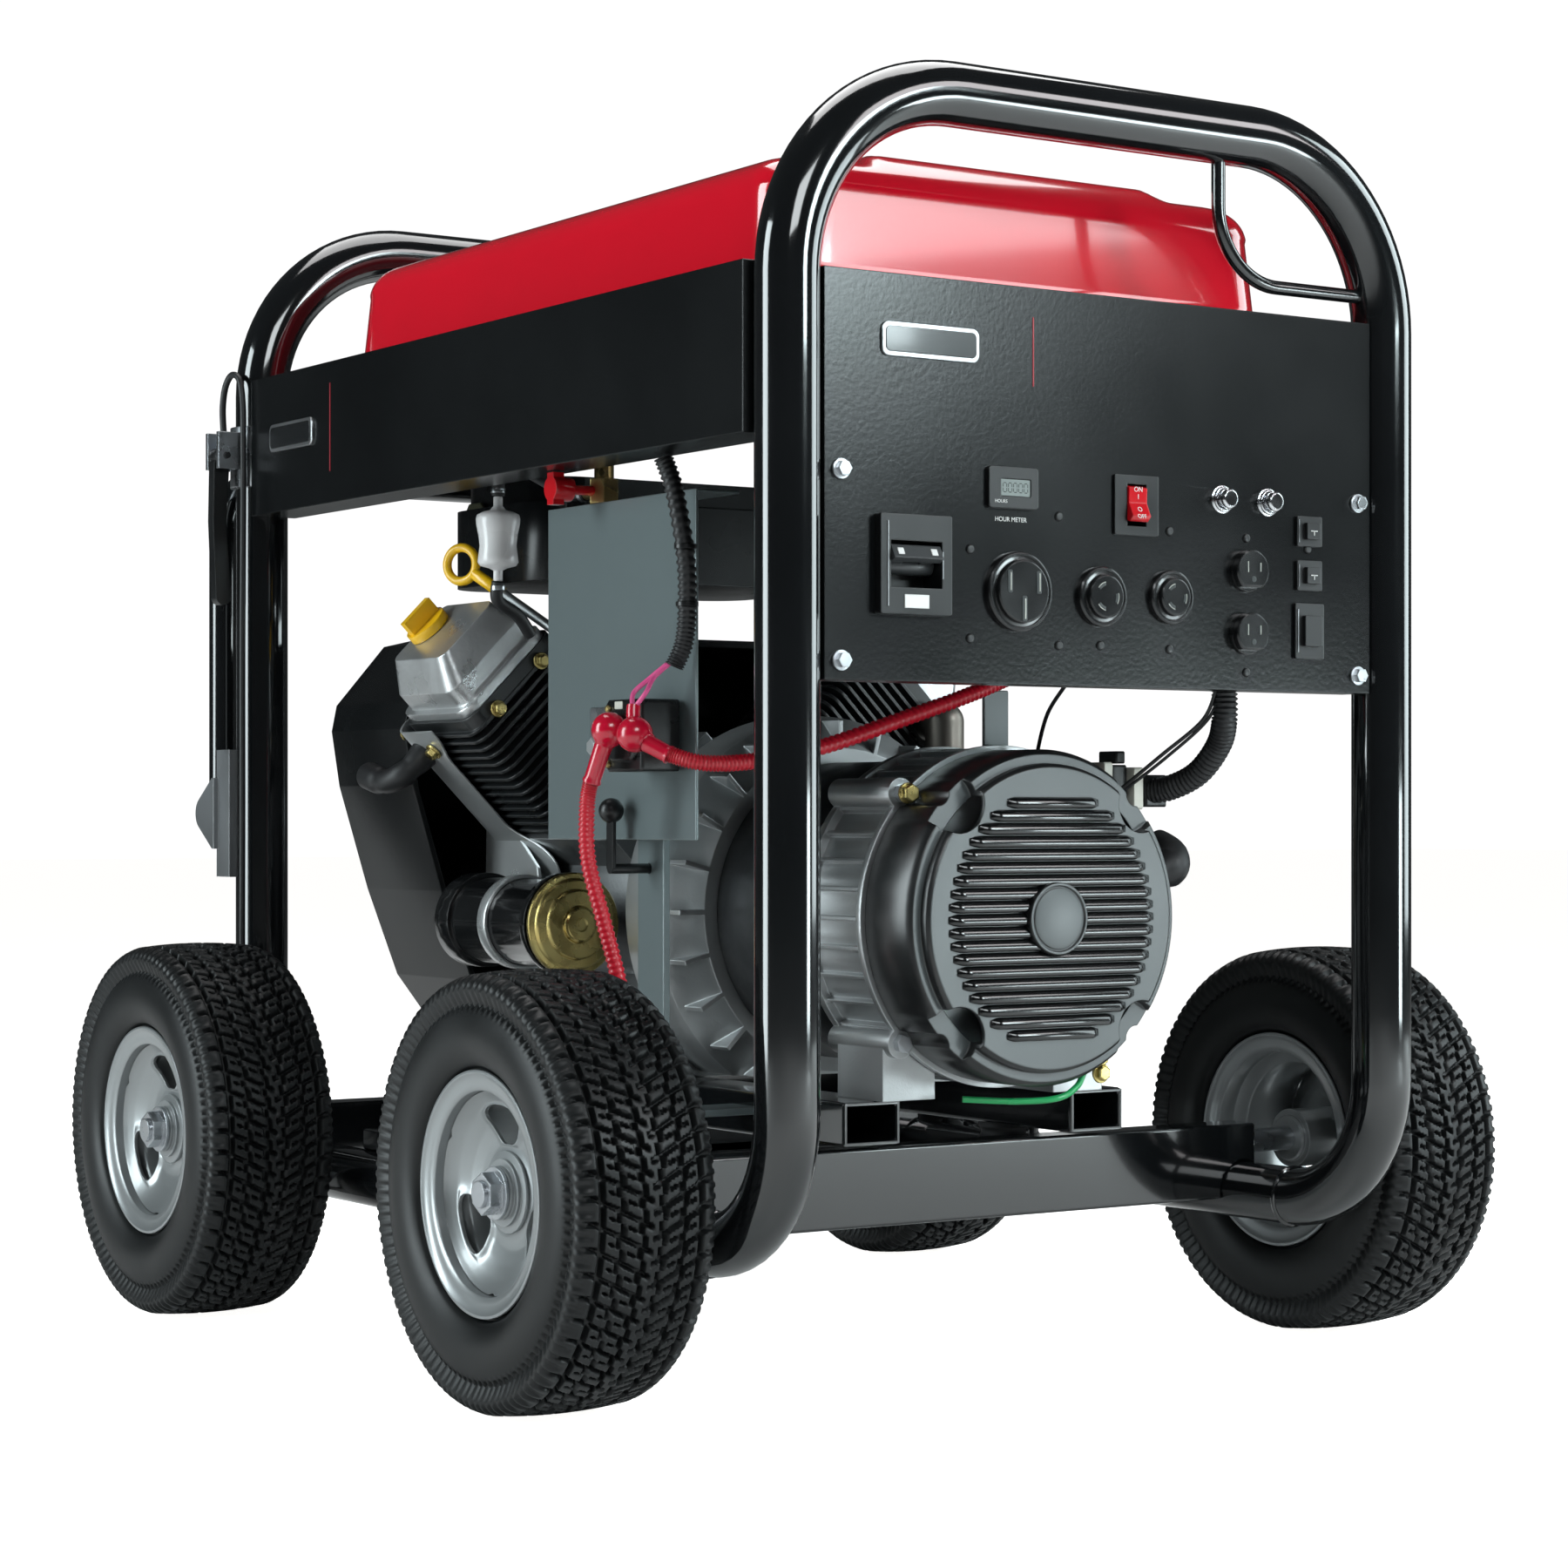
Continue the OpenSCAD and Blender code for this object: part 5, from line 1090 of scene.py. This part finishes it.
for side in (1, -1):
    flip = np.array([side, 1, 1])
    plug = crank + AXIS_LEFT * 0.258 + OUT_LEFT * 0.060 + Y * (bank_y + 0.046)
    knots = [plug, plug + OUT_LEFT * 0.020, plug + OUT_LEFT * 0.034 + Y * 0.006,
             plug + OUT_LEFT * 0.042 + Y * 0.026, plug + OUT_LEFT * 0.040 + Y * 0.062 + Z * 0.004]
    path = curve_through([k * flip for k in knots], 44)
    boots.append(swept(path, np.interp(np.arange(44), [0, 6, 14, 22, 34, 36, 43],
                                       [0.014, 0.013, 0.0105, 0.0115, 0.0105, 0.0125, 0.0125]), 24))
mesh_piece("plug_boots", join(boots), hose_rubber, crease=60)
olive_zinc = finished("olive_zinc", (0.30, 0.30, 0.20), 0.28, 0.40, metallic=0.9, coarse=16, fine_scale=350,
                      bump=0.1, shade=(0.14, 0.15, 0.10))
plate_outline = np.array([(-26, -34), (30, -34), (34, -26), (34, 14), (8, 36), (-14, 36), (-26, 22)])
bracket = [prism(plate_outline, (-0.168, 0.214, 0.690), 0.0022, 0.0008, face=(-1, 0, 0.15)),
           prism(rounded_outline(54, 26, 3, 4), (-0.157, 0.214, 0.658), 0.0020, 0.0006, face=(0, 0, 1),
                 up=(0, 1, 0))]
mesh_piece("choke_cable_bracket", join(bracket), olive_zinc, crease=30)
gusset_outline = np.array([(-46, 36), (-34, 44), (48, -20), (52, -34), (40, -46), (-38, -46), (-48, -36)])
gusset = [prism(gusset_outline, (-0.150, 0.180, 0.418), 0.0030, 0.0010, face=(-1, 0, 0))]
mesh_piece("engine_gusset", join(gusset), bare_sheet, crease=30)
bolts = [hex_bolt((-0.153, 0.180 + dy, 0.418 + dz), (-1, 0, 0), 10, 5, 15)
         for dy, dz in ((0.034, -0.034), (-0.036, -0.034), (0.034, 0.030))]
mesh_piece("gusset_bolts", join(bolts), gold_zinc, crease=30)

# --- Oil cap and dipstick -------------------------------------------------------------------------
# Both are moulded in bright yellow nylon: a two-winged cap on a black gasket, and a finger ring
# on a steel blade that slides into a bracketed steel tube.

yellow = finished("yellow_nylon", (1.0, 0.60, 0.012), 0.24, 0.36, coat=0.35, coarse=18, fine_scale=260,
                  bump=0.06, shade=(0.92, 0.50, 0.008))
dress(yellow, "oil_cap", "dipstick", bevel=0.0010)
cap_at = middle_of("oil_cap")
gasket_at = crank + AXIS_LEFT * (np.dot(cap_at - crank, AXIS_LEFT) - 0.0165) + Y * (cap_at[1] - crank[1])
gasket_at += OUT_LEFT * np.dot(cap_at - crank, OUT_LEFT)
mesh_piece(
    "oil_cap_gasket",
    lathe([(0.1, -6), (22, -6), (22.5, -5), (22.5, 0), (21.5, 1), (0.1, 1)],
          gasket_at, AXIS_LEFT, 48),
    mount_rubber, crease=30)

# --- Silencer, starter and solenoid plate ---------------------------------------------------------
# A pressed steel silencer hangs on the far side. The black starter has a stepped plated end plate,
# and the solenoid is screwed with its slotted bracket to a folded sheet plate beside the engine.

silencer_steel = finished("silencer_steel", (0.20, 0.185, 0.165), 0.38, 0.56, metallic=0.9, coarse=11,
                          fine_scale=420, bump=0.2, depth=0.0003, shade=(0.12, 0.10, 0.085))
dress(silencer_steel, "muffler", bevel=0.0015)
starter_black = finished("starter_paint", (0.006, 0.0065, 0.007), 0.14, 0.26, coat=0.5, coarse=9,
                         fine_scale=200, bump=0.05)
dress(starter_black, "starter", bevel=0.0015)
starter_at = np.array([-0.196, -0.004, 0.352])
end_disc = [(0.1, 0), (44, 0), (44, 3), (43, 4), (39, 4.6), (38, 7), (37, 8), (30, 8.6), (29, 11), (28, 12),
            (16, 12.4), (15, 15), (13, 16.2), (6, 16.6), (5, 15.4), (0.1, 15.2)]
mesh_piece("starter_end_plate", lathe(end_disc, starter_at + [0, 0.0005, 0], -Y, 80),
           gold_zinc, crease=25)
clamp_ring = [(37.8, 0), (40.5, 0), (41, 1), (41, 13), (40.5, 14), (37.8, 14)]
mesh_piece("starter_clamp_ring", lathe(clamp_ring, starter_at + [0, 0.080, 0], Y, 80),
           bare_sheet, crease=30)
plate_sheet = finished("plate_sheet", (0.275, 0.330, 0.338), 0.28, 0.38, metallic=0.55, coarse=4,
                       fine_scale=420, bump=0.07, shade=(0.13, 0.165, 0.170), edge=(0.62, 0.68, 0.69),
                       edge_reach=0.0012)
dress(plate_sheet, "shield_plate", bevel=0.0010)
solenoid_black = finished("solenoid_moulding", (0.008, 0.0085, 0.009), 0.2, 0.34, coarse=20, fine_scale=420,
                          bump=0.12)
mesh_piece(
    "solenoid_case",
    join([prism(rounded_outline(54, 56, 3, 6), (-0.2545, -0.243, 0.506), 0.0340, 0.0018, face=(-1, 0, 0)),
          prism(rounded_outline(40, 40, 8, 6), (-0.2885, -0.246, 0.506), 0.0050, 0.0014, face=(-1, 0, 0))]),
    solenoid_black, ("solenoid",), crease=30)
parts = [prism(rounded_outline(86, 50, 2.5, 5), (-0.2500, -0.1725, 0.506), 0.0022, 0.0006, face=(-1, 0, 0)),
         prism(rounded_outline(5, 50, 1.0, 4), (-0.2515, -0.2135, 0.506), 0.0340, 0.0006, face=(-1, 0, 0))]
mesh_piece("solenoid_bracket", join(parts), zinc, crease=30)
mesh_piece("solenoid_bolt", hex_bolt((-0.2521, -0.148, 0.499), (-1, 0, 0), 13, 9, 20),
           bare_sheet, crease=30)
mesh_piece(
    "solenoid_screws",
    join([hex_bolt((-0.2884, -0.2210, z), (-1, 0, 0), 5, 1.5, 6) for z in (0.527, 0.484)]),
    brass, crease=30)
decal = prism(rounded_outline(12, 6, 1, 4), (-0.2884, -0.2360, 0.5295), 0.0004, 0.0001, face=(-1, 0, 0))
mesh_piece("solenoid_label", decal, ivory, crease=30)

# --- Starter cables -------------------------------------------------------------------------------
# Soft red boots cap both solenoid studs. The battery cable drops from one in ribbed red sleeve,
# and two pink sensing leads climb from the other into black split loom along the plate's edge.

boot_red = finished("boot_vinyl", (0.62, 0.006, 0.035), 0.16, 0.28, coat=0.6, coarse=20, fine_scale=250,
                    bump=0.05, shade=(0.50, 0.004, 0.025))
sleeve_red = finished("sleeve_red", (0.60, 0.008, 0.025), 0.28, 0.40, coat=0.2, fine_scale=350, bump=0.08)
pink_lead = finished("pink_lead", (0.78, 0.10, 0.30), 0.3, 0.42, fine_scale=350, bump=0.05)


def bulb(middle, tail, radius):
    """A boot: a ball whose neck, of radius r * (0.55 + 0.1 cos), runs out along a short curve."""
    middle, tail = np.asarray(middle, float), [np.asarray(k, float) for k in tail]
    first = tail[0] - middle
    first = first / np.linalg.norm(first)
    steps = np.linspace(-0.999, 0.80, 22)
    ball = [middle + first * radius * t for t in steps]
    widths = [radius * math.sqrt(max(1 - t * t, 0.0009)) for t in steps]
    neck = curve_through([middle + first * radius * 0.86] + tail, 22)
    widths += list(np.interp(np.arange(22), [0, 4, 12, 19, 20, 21],
                             radius * np.array([0.58, 0.52, 0.50, 0.48, 0.54, 0.54])))
    return swept(np.concatenate([ball, neck]), np.array(widths), 28)


left_boot = bulb((-0.303, -0.246, 0.510), [(-0.307, -0.240, 0.492), (-0.310, -0.231, 0.470)], 0.0140)
right_boot = bulb((-0.300, -0.279, 0.506), [(-0.293, -0.290, 0.498), (-0.283, -0.302, 0.490)], 0.0140)
mesh_piece(
    "solenoid_boots",
    join([left_boot, right_boot, swept(curve_through([(-0.300, -0.277, 0.515), (-0.299, -0.275, 0.523),
                                                       (-0.298, -0.274, 0.528)], 12), 0.0055, 20)]),
    boot_red, crease=60)
drop = curve_through([(-0.310, -0.231, 0.472), (-0.311, -0.226, 0.452), (-0.309, -0.224, 0.410),
                      (-0.298, -0.230, 0.360), (-0.284, -0.230, 0.310), (-0.268, -0.208, 0.262),
                      (-0.250, -0.190, 0.240)], 260)
across = curve_through([(-0.284, -0.301, 0.491), (-0.262, -0.318, 0.484), (-0.220, -0.326, 0.486),
                        (-0.160, -0.332, 0.498), (-0.090, -0.338, 0.520), (-0.030, -0.345, 0.540),
                        (0.010, -0.350, 0.556)], 320)
corrugated = [swept(path, ribbed(0.0058, 0.0006, len(path)), 20)
              for path in (drop, across)]
mesh_piece("battery_cables", join(corrugated), sleeve_red, ("battery_cable",), crease=60)
pinks = [swept(curve_through(k, 30), 0.0019, 12) for k in (
    [(-0.298, -0.272, 0.527), (-0.292, -0.264, 0.538), (-0.282, -0.268, 0.548), (-0.272, -0.280, 0.560)],
    [(-0.298, -0.276, 0.527), (-0.293, -0.284, 0.538), (-0.282, -0.278, 0.550), (-0.270, -0.284, 0.562)])]
mesh_piece("sensing_pair", join(pinks), pink_lead, crease=60)
ties = [lathe([(7.8, -1.8), (8.8, -1.8), (8.8, 1.8), (7.8, 1.8)], p, Z, 32)
        for p in ((-0.2600, -0.290, 0.606), (-0.2615, -0.290, 0.650))]
mesh_piece("loom_ties", join(ties), black_plastic, crease=30)

# --- Choke ----------------------------------------------------------------------------------------
# A black ball is screwed on the choke lever, which swings on a plated bracket under the plate.

dress(black_plastic, "choke_lever", bevel=0.0006)
